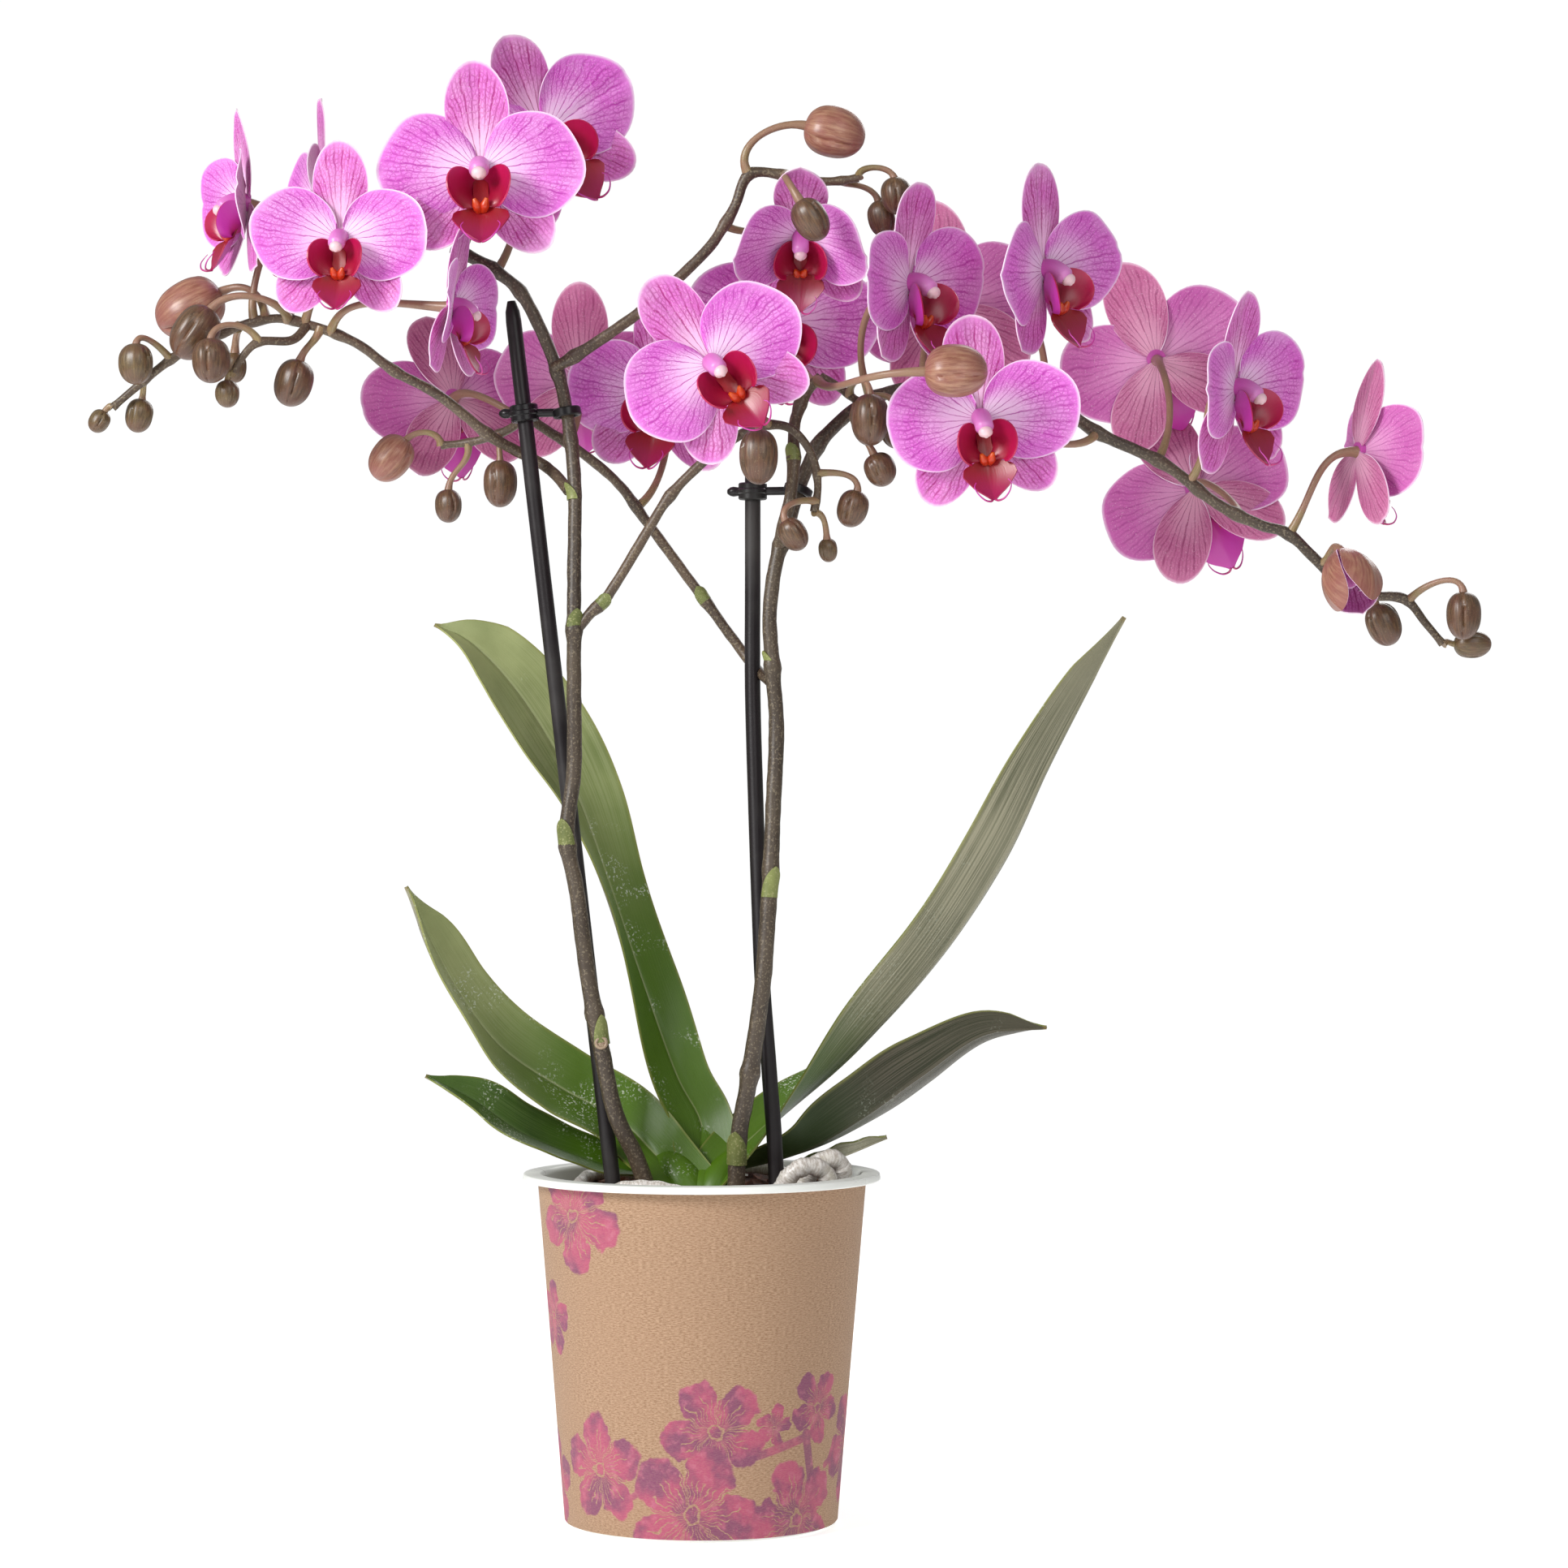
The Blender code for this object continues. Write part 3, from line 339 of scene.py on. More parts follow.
def petal_finish(name, heart, body, vein, edge, count, net_share, strength):
    material, tree, shader, where = finish(name, 0.5, Sheen_Weight=0.15, Sheen_Roughness=0.4,
                                           Specular_IOR_Level=0.3, Subsurface_Weight=0.15)
    shader.inputs["Subsurface Radius"].default_value = (1.0, 0.35, 0.7)
    shader.inputs["Subsurface Scale"].default_value = 0.001
    place = add(tree, "ShaderNodeUVMap", uv_map="place").outputs["UV"]
    reach = add(tree, "ShaderNodeSeparateXYZ", {"Vector": place}).outputs["Y"]
    wash = mottle(tree, where, 90.0, 2.0)
    base = mix(tree, step(tree, reach, 0.05, 0.75), linear(heart), linear(body))
    base = mix(tree, step(tree, wash, 0.35, 0.75, 0.0, 0.3), base, linear(heart))
    veins = vein_net(tree, place, count, net_share)
    veins = calc(tree, "MULTIPLY", veins, step(tree, reach, 0.99, 0.86, 0.1, strength))
    veins = calc(tree, "MULTIPLY", veins, step(tree, mottle(tree, where, 220.0, 2.0), 0.3, 0.6, 0.6, 1.0))
    veined = mix(tree, veins, base, linear(vein))
    veined = mix(tree, step(tree, reach, 0.96, 1.0, 0.0, 0.8), veined, linear(edge))
    sparkle = step(tree, mottle(tree, where, 2600.0, 1.0), 0.62, 0.72, 0.0, 0.35)
    colour_with(tree, shader, mix(tree, sparkle, veined, linear(edge)))
    grain = mottle(tree, where, 1800.0, 2.0)
    height = calc(tree, "ADD", calc(tree, "MULTIPLY", veins, -0.6), calc(tree, "MULTIPLY", grain, 0.35))
    raise_bump(tree, shader, height, 0.3, 0.0003)
    return material


PETAL_FACE = petal_finish("petal_face", "f6daf4", "dc72d2", "ac1f9c", "f8e4f6", 13.0, 0.6, 0.95)
PETAL_BACK = petal_finish("petal_back", "dfa0ca", "c565ae", "a03c88", "ecd0e6", 13.0, 0.35, 0.75)
SEPAL_FACE = petal_finish("sepal_face", "f2cee8", "d874c8", "a01474", "f6deee", 11.0, 0.5, 1.0)
SEPAL_BACK = petal_finish("sepal_back", "dba0bc", "c06a98", "8e3066", "e8cadb", 11.0, 0.3, 0.85)


def lip_finish(name, deep, bright, share_low, share_high):
    """Waxy and deeply coloured, brighter towards the edge, with fine lines along it."""
    material, tree, shader, where = finish(name, 0.33, Specular_IOR_Level=0.5, Coat_Weight=0.25,
                                           Coat_Roughness=0.35, Subsurface_Weight=0.15)
    shader.inputs["Subsurface Radius"].default_value = (1.0, 0.2, 0.3)
    shader.inputs["Subsurface Scale"].default_value = 0.001
    place = add(tree, "ShaderNodeUVMap", uv_map="place").outputs["UV"]
    reach = add(tree, "ShaderNodeSeparateXYZ", {"Vector": place}).outputs["Y"]
    lines = mottle(tree, stretched(tree, place, (34.0, 2.0, 1.0)), 1.0, 3.0)
    share = calc(tree, "ADD", step(tree, reach, share_low, share_high), calc(tree, "MULTIPLY", lines, 0.35))
    colour_with(tree, shader, mix(tree, calc(tree, "SUBTRACT", share, 0.15, clamp=True), linear(deep), linear(bright)))
    raise_bump(tree, shader, lines, 0.25, 0.0002)
    return material


LIP_INNER = lip_finish("lip_inner", "980a30", "b4124c", 0.3, 0.95)
LIP_OUTER = lip_finish("lip_outer", "b0286c", "c03aa4", 0.1, 0.7)
LIP_FRONT = lip_finish("lip_front", "8e0812", "a01450", 0.45, 0.95)
CALLUS = lip_finish("callus", "c22b08", "e58a1c", 0.2, 0.8)
COLUMN = lip_finish("column", "c24ea8", "dc86cc", 0.3, 1.0)
ANTHER_CAP = lip_finish("anther_cap", "e9c2cc", "f0d6cf", 0.0, 1.0)


def streaked_finish(name, dark, light, tip, roughness=0.42, speckle=0.0):
    """Buds and their stalks: fine streaks along the piece, a tint towards its tip, pale specks."""
    material, tree, shader, where = finish(name, roughness, Coat_Weight=0.3, Coat_Roughness=0.25)
    place = add(tree, "ShaderNodeUVMap", uv_map="place").outputs["UV"]
    reach = add(tree, "ShaderNodeSeparateXYZ", {"Vector": place}).outputs["Y"]
    streaks = mottle(tree, stretched(tree, place, (46.0, 3.0, 1.0)), 1.0, 4.0)
    wash = mottle(tree, where, 260.0, 3.0)
    base = mix(tree, step(tree, streaks, 0.34, 0.66), linear(dark), linear(light))
    base = mix(tree, step(tree, wash, 0.35, 0.7, 0.0, 0.5), base, linear(tip))
    base = mix(tree, step(tree, reach, 0.55, 1.05, 0.0, 0.55), base, linear(tip))
    if speckle:
        specks = step(tree, mottle(tree, where, 2600.0, 1.0), 0.66, 0.74, 0.0, speckle)
        base = mix(tree, specks, base, linear("b8ab86"))
    colour_with(tree, shader, base)
    raise_bump(tree, shader, streaks, 0.3, 0.0003)
    return material


BUD_OLIVE = streaked_finish("bud_olive", "43301e", "6a4e34", "623c2e", speckle=0.25)
BUD_ROSE = streaked_finish("bud_rose", "84503f", "a87c62", "925650", speckle=0.2)
BUD_GREEN = streaked_finish("bud_green", "4a3a22", "6e5a3a", "64402e", speckle=0.2)
STALK = streaked_finish("stalk", "7d6a44", "97845a", "94665a", 0.4, speckle=0.3)
print("flower finishes:", [m.name for m in (PETAL_FACE, SEPAL_FACE, LIP_INNER, COLUMN, BUD_OLIVE, STALK)])

# %% [markdown]
# ## Finishes of the stems, leaves, bark, roots and pot
# The flower spikes are dark olive-brown with a fine pale speckle. The leaves are waxy green with faint
# lengthwise lines and a paler, greyer back, and they carry dried water spots. The taller leaves' faces are
# painted a pale sage that stands in for the light their wax reflects (painted sheen), over a green foot.
# The sleeve is kraft paper: warm brown, with short fibres lying mostly sideways.


# %% Plant and pot finishes
def stem_finish(name, dark, light, speck, roughness=0.45):
    material, tree, shader, where = finish(name, roughness, Coat_Weight=0.08, Coat_Roughness=0.35)
    base = mix(tree, step(tree, mottle(tree, where, 60.0), 0.35, 0.65), linear(dark), linear(light))
    streaks = mottle(tree, stretched(tree, where, (900.0, 900.0, 60.0)), 1.0, 3.0)
    base = mix(tree, step(tree, streaks, 0.4, 0.7, 0.0, 0.35), base, linear(light))
    specks = step(tree, mottle(tree, where, 1500.0, 2.0), 0.55, 0.63, 0.0, 0.65)
    colour_with(tree, shader, mix(tree, specks, base, linear(speck)))
    raise_bump(tree, shader, mottle(tree, where, 1500.0, 3.0), 0.35, 0.0002)
    return material


STEM = stem_finish("stem_bark", "372c22", "4c4032", "7a6e5a")
BRANCH = stem_finish("branch_bark", "44362a", "5b4a3a", "85785f")
BRACT = stem_finish("bract", "58602c", "7d8448", "9a9a68", 0.5)


def leaf_finish(name, deep, pale_tone_and_sheen, line, line_share, roughness, spots, foot, foot_end=0.55):
    material, tree, shader, where = finish(name, roughness, Coat_Weight=0.12, Coat_Roughness=0.25,
                                           Specular_IOR_Level=0.25)
    place = add(tree, "ShaderNodeUVMap", uv_map="place").outputs["UV"]
    apart = add(tree, "ShaderNodeSeparateXYZ", {"Vector": place})
    lines = mottle(tree, stretched(tree, place, (58.0, 2.2, 1.0)), 1.0, 4.0, 0.65)
    calm = step(tree, apart.outputs["Y"], 0.72, 0.97, 1.0, 0.0)
    lines = calc(tree, "MULTIPLY_ADD", calc(tree, "SUBTRACT", lines, 0.5), calm, 0.5)
    wash = mottle(tree, where, 26.0, 4.0)
    # random mottle between the two tones; on the pale sage leaf faces both tones are painted sheen
    base = mix(tree, step(tree, wash, 0.3, 0.7), linear(deep), linear(pale_tone_and_sheen))
    base = mix(tree, step(tree, lines, 0.42, 0.62, 0.0, line_share), base, linear(line))
    base = mix(tree, step(tree, apart.outputs["Y"], foot_end, foot_end * 0.4, 0.0, 0.95), base, linear(foot))
    rib = step(tree, calc(tree, "ABSOLUTE", calc(tree, "SUBTRACT", apart.outputs["X"], 0.5)), 0.0, 0.035, 0.5, 0.0)
    base = mix(tree, rib, base, linear(line))
    edge = step(tree, calc(tree, "ABSOLUTE", calc(tree, "SUBTRACT", apart.outputs["X"], 0.5)), 0.46, 0.5, 0.0, 0.55)
    base = mix(tree, edge, base, linear("8a8a48"))
    tip = step(tree, apart.outputs["Y"], 0.985, 1.0, 0.0, 0.6)
    base = mix(tree, tip, base, linear("7d6a3a"))
    if spots:
        patches = step(tree, mottle(tree, where, 55.0, 2.0), 0.52, 0.66)
        grains = step(tree, mottle(tree, where, 1300.0, 2.0), 0.56, 0.66)
        base = mix(tree, calc(tree, "MULTIPLY", calc(tree, "MULTIPLY", patches, grains), spots), base, linear("cfd6c4"))
    colour_with(tree, shader, base)
    fine = mottle(tree, where, 1400.0, 2.0)
    raise_bump(tree, shader, calc(tree, "ADD", lines, calc(tree, "MULTIPLY", fine, 0.25)), 0.3, 0.0004)
    return material


LEAF_UPPER = leaf_finish("leaf_upper", "2c4416", "486426", "647a44", 0.4, 0.36, 0.8, "40600c")
LEAF_UNDER = leaf_finish("leaf_under", "5e5f48", "7d7c64", "a09c84", 0.9, 0.48, 0.15, "3f5c20", 0.4)
# painted sheen: these pale sage tones stand in for light reflected from the waxy upper face; the green foot is the
# leaf's own colour
LEAF_PAINTED_SHEEN = leaf_finish("leaf_painted_sheen", "76824e", "a0a872", "b0b688", 0.4, 0.38, 0.8, "46680a", 0.8)
LEAF_FOOT = leaf_finish("leaf_foot", "3e5a0a", "587c14", "6e8834", 0.3, 0.42, 0.7, "4a6c10")
LEAF_PLUM = leaf_finish("leaf_plum", "23280f", "353222", "5a5446", 0.7, 0.5, 0.2, "30421c")


def bark_finish():
    material, tree, shader, where = finish("bark_chip", 0.88)
    base = mix(tree, step(tree, mottle(tree, where, 240.0, 5.0), 0.35, 0.65), linear("3c2116"), linear("7d4a33"))
    base = mix(tree, step(tree, mottle(tree, where, 60.0, 2.0), 0.52, 0.7, 0.0, 0.7), base, linear("9c6348"))
    colour_with(tree, shader, base)
    raise_bump(tree, shader, mottle(tree, where, 900.0, 5.0, 0.7), 0.9, 0.0012)
    return material


def root_finish():
    """Silvery velamen: papery, with cross wrinkles."""
    material, tree, shader, where = finish("aerial_root", 0.38, Coat_Weight=0.4, Coat_Roughness=0.25)
    place = add(tree, "ShaderNodeUVMap", uv_map="place").outputs["UV"]
    wrinkles = mottle(tree, stretched(tree, place, (9.0, 16.0, 1.0)), 1.0, 5.0, 0.7)
    base = mix(tree, step(tree, wrinkles, 0.35, 0.65), linear("b3a99e"), linear("ebe7e2"))
    base = mix(tree, step(tree, mottle(tree, where, 150.0), 0.5, 0.7, 0.0, 0.5), base, linear("c0b9a6"))
    colour_with(tree, shader, base)
    raise_bump(tree, shader, wrinkles, 0.4, 0.0005)
    return material


def plastic_finish(name, colour, roughness, grain_scale, grain):
    """Moulded plastic: one colour with a faint uneven gloss and a fine skin texture."""
    material, tree, shader, where = finish(name, roughness, Specular_IOR_Level=0.35)
    dust = mottle(tree, where, 30.0, 4.0)
    base = mix(tree, step(tree, dust, 0.45, 0.75, 0.0, 0.25), linear(colour), linear("b9b6ae"))
    colour_with(tree, shader, mix(tree, 0.25, linear(colour), base))
    tree.links.new(step(tree, dust, 0.3, 0.7, roughness * 0.8, roughness * 1.25), shader.inputs["Roughness"])
    raise_bump(tree, shader, mottle(tree, where, grain_scale, 3.0), grain, 0.0002)
    return material


BARK = bark_finish()
ROOT = root_finish()
WHITE_PLASTIC = plastic_finish("white_plastic", "e9ebe6", 0.32, 500.0, 0.05)
BLACK_PLASTIC = plastic_finish("black_plastic", "1c1719", 0.42, 1200.0, 0.15)
CLIP_PLASTIC = plastic_finish("clip_plastic", "141214", 0.3, 900.0, 0.08)
print("plant and pot finishes:", [m.name for m in (STEM, LEAF_UPPER, BARK, ROOT, WHITE_PLASTIC)])

# %% [markdown]
# ## The printed kraft sleeve
# The sleeve is a cone of kraft paper round the liner, printed with soft pink blossoms whose veins are left
# unprinted. An image would be simple, but a pattern that is worked out stays sharp and needs no file. One node
# group draws a single blossom from the distance and angle to its middle, and it is used once for each blossom,
# with its own place, size and turn. The sleeve's map gives the way round it and the height, both in mm.


# %% The blossom print
def print_group():
    """A node group that draws one blossom: how much ink there is, and the fine lines left bare in it."""
    group = bpy.data.node_groups.new("blossom_print", "ShaderNodeTree")
    face = group.interface
    face.new_socket("Place", in_out="INPUT", socket_type="NodeSocketVector")
    face.new_socket("Middle", in_out="INPUT", socket_type="NodeSocketVector")
    face.new_socket("Size", in_out="INPUT", socket_type="NodeSocketFloat")
    face.new_socket("Turn", in_out="INPUT", socket_type="NodeSocketFloat")
    face.new_socket("Ink", in_out="OUTPUT", socket_type="NodeSocketFloat")
    given = group.nodes.new("NodeGroupInput")
    wanted = group.nodes.new("NodeGroupOutput")
    ripple = add(group, "ShaderNodeTexNoise", {"Vector": given.outputs["Place"], "Scale": 0.22, "Detail": 2.0}).outputs["Color"]
    ripple = add(group, "ShaderNodeVectorMath", {0: ripple, 1: (-0.5, -0.5, -0.5)}, operation="ADD").outputs[0]
    ripple = add(group, "ShaderNodeVectorMath", {0: ripple, "Scale": 5.0}, operation="SCALE").outputs[0]
    offset = add(group, "ShaderNodeVectorMath", {0: given.outputs["Place"], 1: given.outputs["Middle"]}, operation="SUBTRACT").outputs[0]
    offset = add(group, "ShaderNodeVectorMath", {0: offset, 1: ripple}, operation="ADD").outputs[0]
    parts = add(group, "ShaderNodeSeparateXYZ", {"Vector": offset})
    far = add(group, "ShaderNodeVectorMath", {0: offset}, operation="LENGTH").outputs["Value"]
    far = calc(group, "DIVIDE", far, given.outputs["Size"])
    angle = calc(group, "ADD", calc(group, "ARCTAN2", parts.outputs["Y"], parts.outputs["X"]), given.outputs["Turn"])
    lobes = calc(group, "ABSOLUTE", calc(group, "COSINE", calc(group, "MULTIPLY", angle, 2.5)))
    edge = calc(group, "MULTIPLY_ADD", calc(group, "POWER", lobes, 0.45), 0.62, 0.38)
    ink = step(group, calc(group, "SUBTRACT", far, edge), -0.03, 0.03, 1.0, 0.0)
    seams = calc(group, "MULTIPLY", step(group, lobes, 0.05, 0.13, 0.9, 0.0), step(group, far, 0.2, 0.4, 1.0, 0.5))
    rays = calc(group, "ABSOLUTE", calc(group, "SINE", calc(group, "MULTIPLY", angle, 17.5)))
    ray_end = calc(group, "MULTIPLY_ADD", calc(group, "SINE", calc(group, "MULTIPLY", angle, 11.0)), 0.14, 0.62)
    rays = calc(group, "MULTIPLY", step(group, rays, 0.12, 0.42, 0.95, 0.0),
                step(group, calc(group, "SUBTRACT", far, ray_end), -0.06, 0.0, 1.0, 0.0))
    rays = calc(group, "MULTIPLY", rays, step(group, far, 0.12, 0.2))
    eye = calc(group, "MULTIPLY", step(group, calc(group, "ABSOLUTE", calc(group, "SUBTRACT", far, 0.12)), 0.01, 0.03, 0.9, 0.0), 1.0)
    bare = calc(group, "MAXIMUM", calc(group, "MAXIMUM", seams, rays), eye)
    result = calc(group, "MULTIPLY", ink, calc(group, "SUBTRACT", 1.0, bare))
    group.links.new(result, wanted.inputs["Ink"])
    return group


# each blossom: degrees round the pot from the front (+X side positive), height mm, size mm, turn in radians
BLOSSOMS = [(-50, 93, 17, 0.3), (-72, 62, 11, 1.1), (-44, 20, 16, 0.9), (-3, 8, 21, 0.1), (6, 32, 16, 1.7),
            (43, 6, 18, 0.6), (52, 38, 11, 0.2), (30, 33, 6, 1.2), (84, 24, 17, 0.4), (118, 9, 19, 1.2),
            (150, 30, 15, 0.1), (176, 10, 18, 0.8), (-150, 22, 16, 1.5), (-118, 8, 20, 0.2), (-84, 14, 14, 1.0),
            (-104, 84, 16, 0.7), (132, 92, 14, 0.2)]
# each twig joins two places: degrees and height of its ends, and its half width in mm
TWIGS = [((-30, 12), (-12, 20), 0.9), ((18, 24), (50, 30), 1.2), ((46, 30), (54, 6), 1.6), ((60, 20), (80, 28), 1.0)]
MAP_RADIUS = 44.0


def kraft_finish():
    material, tree, shader, where = finish("kraft_paper", 0.82, Specular_IOR_Level=0.25, Sheen_Weight=0.08)
    place = add(tree, "ShaderNodeUVMap", uv_map="place").outputs["UV"]
    fibres = mottle(tree, stretched(tree, place, (0.9, 3.2, 1.0)), 1.0, 5.0, 0.7)
    short = mottle(tree, stretched(tree, place, (2.2, 9.0, 1.0), (0.0, 0.0, 0.5)), 1.0, 3.0, 0.6)
    cloud = mottle(tree, place, 0.05, 3.0)
    paper = mix(tree, step(tree, fibres, 0.33, 0.67), linear("8c6c52"), linear("bb9c80"))
    paper = mix(tree, step(tree, short, 0.6, 0.72, 0.0, 0.45), paper, linear("8c6e56"))
    paper = mix(tree, step(tree, cloud, 0.35, 0.7, 0.0, 0.3), paper, linear("a5866c"))
    group = print_group()
    ink = None
    for degrees, height, size, turn in BLOSSOMS:
        middle = (math.radians(degrees) * MAP_RADIUS, height, 0.0)
        node = add(tree, "ShaderNodeGroup", node_tree=group)
        tree.links.new(place, node.inputs["Place"])
        node.inputs["Middle"].default_value = middle
        node.inputs["Size"].default_value = size
        node.inputs["Turn"].default_value = turn
        ink = node.outputs["Ink"] if ink is None else calc(tree, "MAXIMUM", ink, node.outputs["Ink"])
    for start, end, half in TWIGS:
        a, b = (Vector((math.radians(d) * MAP_RADIUS, h, 0.0)) for d, h in (start, end))
        along = (b - a).normalized()
        turned_place = add(tree, "ShaderNodeVectorMath", {0: place, 1: a}, operation="SUBTRACT").outputs[0]
        run = add(tree, "ShaderNodeVectorMath", {0: turned_place, 1: along}, operation="DOT_PRODUCT").outputs["Value"]
        run = calc(tree, "MINIMUM", calc(tree, "MAXIMUM", run, 0.0), (b - a).length)
        foot = add(tree, "ShaderNodeVectorMath", {0: along}, operation="SCALE")
        tree.links.new(run, foot.inputs["Scale"])
        gap = add(tree, "ShaderNodeVectorMath", {0: turned_place, 1: foot.outputs[0]}, operation="DISTANCE").outputs["Value"]
        ink = calc(tree, "MAXIMUM", ink, step(tree, gap, half - 0.2, half + 0.3, 0.9, 0.0))
    hue = mottle(tree, place, 0.075, 3.0, 0.6)
    wash = mix(tree, step(tree, hue, 0.4, 0.58), linear("7c3c66"), linear("b04a70"))
    wash = mix(tree, step(tree, mottle(tree, place, 0.3, 5.0, 0.7), 0.5, 0.72, 0.0, 0.55), wash, linear("c27490"))
    ink = calc(tree, "MULTIPLY", ink, step(tree, fibres, 0.25, 0.6, 0.92, 0.78))
    colour_with(tree, shader, mix(tree, ink, paper, wash))
    raise_bump(tree, shader, calc(tree, "ADD", fibres, calc(tree, "MULTIPLY", short, 0.5)), 0.5, 0.0004)
    return material


KRAFT = kraft_finish()

# %% [markdown]
# ## Sleeve, liner and grower's pot
# All three are turned shapes, so each is a profile (radius, height) carried round the upright axis. The liner
# and the grower's pot are cups, whose profile runs from the middle of the floor inside to the middle
# underneath; the sleeve is a ring, whose profile closes on itself. The sleeve's overlap is a thin raised band.

# %% Turned pots
POT_HEIGHT = 103.0


def sleeve_radius(height):
    return 40.0 + 8.4 * height / POT_HEIGHT


def turned_solid(profile, sides, ring=False, swell=None):
    """Points, faces and map of a profile carried round Z, starting at the back so that its seam is there."""
    angles = np.arange(sides) / sides * math.tau
    around = np.stack([np.sin(angles), -np.cos(angles)], -1)
    profile = np.array(profile, dtype=float)
    radii = np.broadcast_to(profile[:, 0][:, None], (len(profile), sides)).copy()
    if swell is not None:
        radii += swell(profile[:, 1][:, None], angles[None])
    rings = np.concatenate([radii[..., None] * around[None],
                            np.broadcast_to(profile[:, 1][:, None, None], (len(profile), sides, 1))], -1)
    signed = np.where(angles > math.pi, angles - math.tau, angles) * MAP_RADIUS
    chart = np.stack(np.broadcast_arrays(signed[None], profile[:, 1][:, None]), -1)
    if not ring:
        return skin(rings, chart)
    count = len(profile)
    faces = []
    for i in range(count):
        for j in range(sides):
            k, m = (j + 1) % sides, (i + 1) % count
            faces.append([i * sides + j, i * sides + k, m * sides + k, m * sides + j])
    return rings.reshape(-1, 3), faces, chart.reshape(-1, 2)


def rounded(corners, radius, pieces=3):
    """A profile with its inner corners rounded by short arcs."""
    out = [corners[0]]
    for before, corner, after in zip(corners, corners[1:], corners[2:]):
        a, c, b = Vector(before), Vector(corner), Vector(after)
        cut = min(radius, (a - c).length * 0.45, (b - c).length * 0.45)
        start, end = c + (a - c).normalized() * cut, c + (b - c).normalized() * cut
        for i in range(pieces + 1):
            t = i / pieces
            out.append(tuple(start * (1 - t) ** 2 + c * (2 * t * (1 - t)) + end * t * t))
    out.append(corners[-1])
    return out


def paper_overlap(height, angle):
    """The glued overlap stands a little proud near the back left."""
    return 0.35 * (np.abs(np.mod(angle, math.tau) - 3.6) < 0.13) + 0.12 * np.sin(3 * angle + height / 30)


low, high = 1.0, POT_HEIGHT - 2.3
wall = 0.7
heights = np.linspace(low + 0.5, high, 14)
outer = [(sleeve_radius(h), h) for h in heights[::-1]]
sleeve_profile = [*outer, (sleeve_radius(low) - 0.35, low), (sleeve_radius(low) - wall, low + 0.1),
                  *[(sleeve_radius(h) - wall, h) for h in heights]]
body = Body("sleeve", [KRAFT])
body.add(*turned_solid(sleeve_profile, 200, ring=True, swell=paper_overlap), 0)
sleeve = body.piece("paper_sleeve")

foot, neck, under = sleeve_radius(0) - 1.05, sleeve_radius(101.4) - 1.05, POT_HEIGHT - 1.6
liner_profile = rounded([(0.5, 1.0), (foot - 1.5, 1.0), (neck - 0.9, POT_HEIGHT - 1.2), (neck, POT_HEIGHT + 0.0),
                         (52.3, POT_HEIGHT - 0.1), (52.6, POT_HEIGHT - 2.2), (51.5, POT_HEIGHT - 2.2),
                         (51.2, under), (neck, under), (foot, 1.3), (foot - 1.3, 0.0), (36.0, 0.0), (35.5, 0.35),
                         (0.5, 0.35)], 0.5)
body = Body("liner", [WHITE_PLASTIC])
body.add(*turned_solid(liner_profile, 160), 0)
liner = body.piece("cover_pot", sharp=40)
print("sleeve and liner:", len(sleeve.data.polygons), "and", len(liner.data.polygons), "faces")

# %% [markdown]
# ## Bark medium
# Orchids grow in loose bark chips. Placing a few hundred chips by hand is slow, so a Geometry Nodes tree
# scatters them over a flat disc just below the pot's rim: it instances one small block at each point with a random
# turn and size, makes the blocks real, and then pushes every point about with noise, which makes each chip
# different. The CAD plug itself stays underneath in the same finish.

# %% Grower's pot and bark bed
CLEAR, clear_tree, clear_shader, clear_where = finish("clear_plastic", 0.12, Transmission_Weight=0.9, IOR=1.45)
haze = mottle(clear_tree, clear_where, 70.0)
colour_with(clear_tree, clear_shader, mix(clear_tree, haze, linear("dfe6e2"), linear("c3cdc8")))
raise_bump(clear_tree, clear_shader, haze, 0.1, 0.0003)


def nursery_radius(height):
    return 44.2 - 9.0 * (1 - height / 96.0)


inner_low, pot_low, pot_high = 2.05, 1.35, 96.5
grower_profile = rounded([(0.5, inner_low), (nursery_radius(pot_low) - 0.7, inner_low),
                          (nursery_radius(pot_high) - 0.7, pot_high), (nursery_radius(pot_high) + 0.9, pot_high),
                          (nursery_radius(pot_high) + 0.9, pot_high - 1.6), (nursery_radius(pot_high), pot_high - 1.8),
                          (nursery_radius(pot_low), pot_low), (0.5, pot_low)], 0.4)
body = Body("growers_pot", [CLEAR])
body.add(*turned_solid(grower_profile, 96), 0)
growers_pot = body.piece("nursery_pot", sharp=40)


def give_finish(node, material):
    """A CAD node that keeps its shape gets a finished material in each of its slots."""
    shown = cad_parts[node]
    if not shown.material_slots:
        shown.data.materials.append(material)
    for holder in shown.material_slots:
        holder.link = "OBJECT"
        holder.material = material


give_finish("bark_medium", BARK)


def node_tree(name, inputs):
    """An empty Geometry Nodes tree with a geometry in and out, and named inputs with defaults."""
    tree = bpy.data.node_groups.new(name, "GeometryNodeTree")
    tree.interface.new_socket("Geometry", in_out="INPUT", socket_type="NodeSocketGeometry")
    for label, kind, default in inputs:
        socket = tree.interface.new_socket(label, in_out="INPUT", socket_type=kind)
        if default is not None:
            socket.default_value = default
    tree.interface.new_socket("Geometry", in_out="OUTPUT", socket_type="NodeSocketGeometry")
    return tree, tree.nodes.new("NodeGroupInput"), tree.nodes.new("NodeGroupOutput")


